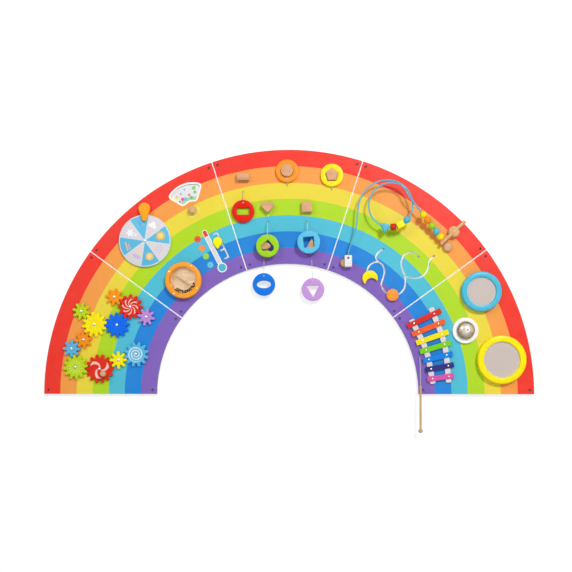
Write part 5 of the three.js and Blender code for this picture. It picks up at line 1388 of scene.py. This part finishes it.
def skin_film(name, rgb, centre, edge):
    """Matt film: fine fibres, and a paler ring at its edge, a painted highlight of the hoop's lit inner wall.
    """
    material, tree, shader = surface(name, 0.42)
    radius, _, _ = about(tree, centre)
    base = np.array(rgb, float)
    colour = tint(tree, clouds(tree, 240, detail=6), base * 0.95, base * 1.04)
    # Painted highlight: a paler ring at the film's edge, standing in for the light on the hoop's inner wall
    colour = tint(tree, (radius > edge - 3) * 0.7, colour, (236, 232, 226))
    tree.links.new(colour, shader.inputs["Base Color"])
    relief(tree, shader, clouds(tree, 900), 0.00008)
    return material


DRUM_TOP = SEAT + 26
LEDGE, HEAD_LOW, HEAD_TOP = DRUM_TOP - 13.3, DRUM_TOP - 13, DRUM_TOP - 9
for name, centre, radius, opening, rgb in (
        ("drum_blue", at(28, ARCH_RADIUS - 109.5), 78.0, 57.0, (76, 188, 218)),
        ("drum_yellow", at(9.3, ARCH_RADIUS - 121), 95.0, 71.0, (254, 232, 2))):
    hoop = [(opening - 6, SEAT), (radius, SEAT), (radius, DRUM_TOP - 4), (radius - 0.8, DRUM_TOP - 1.6),
            (radius - 3, DRUM_TOP), (opening + 3, DRUM_TOP), (opening + 0.8, DRUM_TOP - 1),
            (opening, DRUM_TOP - 2.6), (opening, LEDGE), (opening - 6, LEDGE)]
    turned(name + "_hoop_turned", hoop, on_board(centre), painted(name + "_paint", rgb, 0.3), "board",
           (name + "_hoop",), around=128, loop=True)
    head = [(opening - 0.3, HEAD_LOW), (opening - 0.3, HEAD_TOP - 0.4), (opening - 0.8, HEAD_TOP),
            (0.5, HEAD_TOP)]
    film = skin_film(name + "_film", (200, 187, 180), centre, opening)
    turned(name + "_skin", head, on_board(centre), film, "board", (name + "_head",), around=96)

# Mallet: a thin turned stick of bare wood with a small ball on its low end.
# It hangs from a white cord that comes out of a hole in the panel and is glued into the stick's top.

stick_wood = wooden("stick_beech", (212, 176, 138), (50, 50, 6))
STICK_LEVEL, STICK_TOP = FRONT + 28, -112.0
STICK = [(0.6, 0), (2.4, 0.4), (4.3, 3), (4.3, 171), (5, 171.5), (7.6, 172.6), (8.8, 175), (9, 177),
         (8.2, 180.8), (6, 183.8), (3, 185.6), (0.6, 186)]
turned("mallet_stick", np.array(STICK) * (1, -1) + (0, STICK_TOP), (*MALLET_HOLE, STICK_LEVEL), stick_wood,
       "mallet", ("mallet",), axis=(0, 1, 0), around=28)
mallet_route = np.array([(0, 0, CORD_START), (0, 0, FRONT - 3), (0, 0, FRONT + 2.5), (0, -3, FRONT + 9.8),
                         (0, -33.6, FRONT + 21), (0, -72.8, STICK_LEVEL - 1),
                         (0, STICK_TOP - 4, STICK_LEVEL)])
mallet_route += (*MALLET_HOLE, 0)
hang_cord("mallet_cord", mallet_route, "mallet", ("mallet",), cord_white)

# Stage: a pale wall behind the board and a pale floor below it.
# The wall is seen from the front only, and has no glow behind the board.

STAGE_HALF, WALL_BACK, FLOOR_LEVEL, WALL_TOP = 6, 0.004, -1.6, 4
WALL_GLOW, WALL_MARGIN = 0.6, 6


def sheet(name, corners, tone):
    """Flat sheet of one tone that belongs to the stage and not to the part."""
    mesh = bpy.data.meshes.new(name)
    mesh.from_pydata(corners, [], [(0, 1, 2, 3)])
    material, tree, shader = surface(name + "_paint", 0.9)
    shader.inputs["Base Color"].default_value = linear(tone)
    mesh.materials.append(material)
    piece = bpy.data.objects.new(name, mesh)
    bpy.context.collection.objects.link(piece)
    return tree, shader


wall_corners = [(-STAGE_HALF, WALL_BACK, FLOOR_LEVEL), (STAGE_HALF, WALL_BACK, FLOOR_LEVEL),
                (STAGE_HALF, WALL_BACK, WALL_TOP), (-STAGE_HALF, WALL_BACK, WALL_TOP)]
wall_tree, wall_shader = sheet("wall", wall_corners, (190, 190, 190))
wall_shader.inputs["Emission Color"].default_value = (1, 1, 1, 1)
across, up, _ = place(wall_tree)
from_arch = (across * across + up * up).calc("SQRT")
in_arch = (from_arch > INNER_RADIUS + WALL_MARGIN) * (from_arch < ARCH_RADIUS - WALL_MARGIN)
behind_board = in_arch * (up > WALL_MARGIN)
wall_tree.links.new((behind_board * -WALL_GLOW + WALL_GLOW).socket, wall_shader.inputs["Emission Strength"])
wall_side = wall_tree.nodes.new("ShaderNodeNewGeometry")
wall_ray = wall_tree.nodes.new("ShaderNodeLightPath")
see_through = wall_tree.nodes.new("ShaderNodeBsdfTransparent")
either = wall_tree.nodes.new("ShaderNodeMixShader")
front_side = Field(wall_tree, wall_side.outputs["Backfacing"]) * -1 + 1
from_front = front_side * Field(wall_tree, wall_ray.outputs["Is Camera Ray"])
wall_tree.links.new(from_front.socket, either.inputs[0])
wall_tree.links.new(see_through.outputs[0], either.inputs[1])
wall_tree.links.new(wall_shader.outputs[0], either.inputs[2])
wall_tree.links.new(either.outputs[0], wall_tree.nodes["Material Output"].inputs["Surface"])
floor_corners = [(-STAGE_HALF, -STAGE_HALF, FLOOR_LEVEL), (STAGE_HALF, -STAGE_HALF, FLOOR_LEVEL),
                 (STAGE_HALF, STAGE_HALF, FLOOR_LEVEL), (-STAGE_HALF, STAGE_HALF, FLOOR_LEVEL)]
sheet("floor", floor_corners, (246, 246, 246))

# Light and camera: soft light from the upper right, a weaker one from the left and a faint bounce from
# below; and the view of the photograph, nearly square on to the board.

SKY_LIGHT, SKY_SEEN = 0.26, 1.0
world_light = bpy.data.worlds.new("studio")
bpy.context.scene.world = world_light
world_light.use_nodes = True
sky = world_light.node_tree
background = sky.nodes["Background"]
background.inputs["Color"].default_value = (1, 1, 1, 1)
sky_ray = sky.nodes.new("ShaderNodeLightPath").outputs
camera_ray, glossy_ray, clear_ray = (Field(sky, sky_ray[f"Is {kind} Ray"])
                                     for kind in ("Camera", "Glossy", "Transmission"))
seen = camera_ray.calc("MAXIMUM", glossy_ray).calc("MAXIMUM", clear_ray)
sky.links.new((seen * (SKY_SEEN - SKY_LIGHT) + SKY_LIGHT).socket, background.inputs["Strength"])

for name, spot, aim, size, power in (
        ("key", (1.9, -4.8, 2.1), (0.2, 0, -0.4), 0.9, 180),
        ("left", (-1.9, -2.8, 1.4), (-0.2, 0, -0.4), 1.0, 26),
        ("bounce", (0.4, -2.4, -1.5), (0.1, 0, -0.4), 1.6, 5)):
    lamp = bpy.data.lights.new(name, "AREA")
    lamp.size, lamp.energy = size, power
    holder = bpy.data.objects.new(name, lamp)
    bpy.context.collection.objects.link(holder)
    holder.location = spot
    aim_line = Vector(aim) - Vector(spot)
    holder.rotation_euler = aim_line.to_track_quat("-Z", "Y").to_euler()

VIEW_PIXELS, FOCAL_PIXELS, DROP_PIXELS, FILM_WIDTH = 572, 750.75, 68.33, 36
VIEW_PLACE = (0.0696, -3.0, -0.6076)
YAW, PITCH, ROLL = -0.02494, 0.00664, 0.00049
lens = bpy.data.cameras.new("photo_view")
lens.sensor_width = FILM_WIDTH
lens.lens = FOCAL_PIXELS / VIEW_PIXELS * FILM_WIDTH
lens.shift_y = DROP_PIXELS / VIEW_PIXELS
viewer = bpy.data.objects.new("photo_view", lens)
bpy.context.collection.objects.link(viewer)
viewer.location = VIEW_PLACE
viewer.rotation_euler = (math.pi / 2 + PITCH, ROLL, -YAW)
bpy.context.scene.camera = viewer
bpy.context.scene.view_settings.view_transform = "Standard"
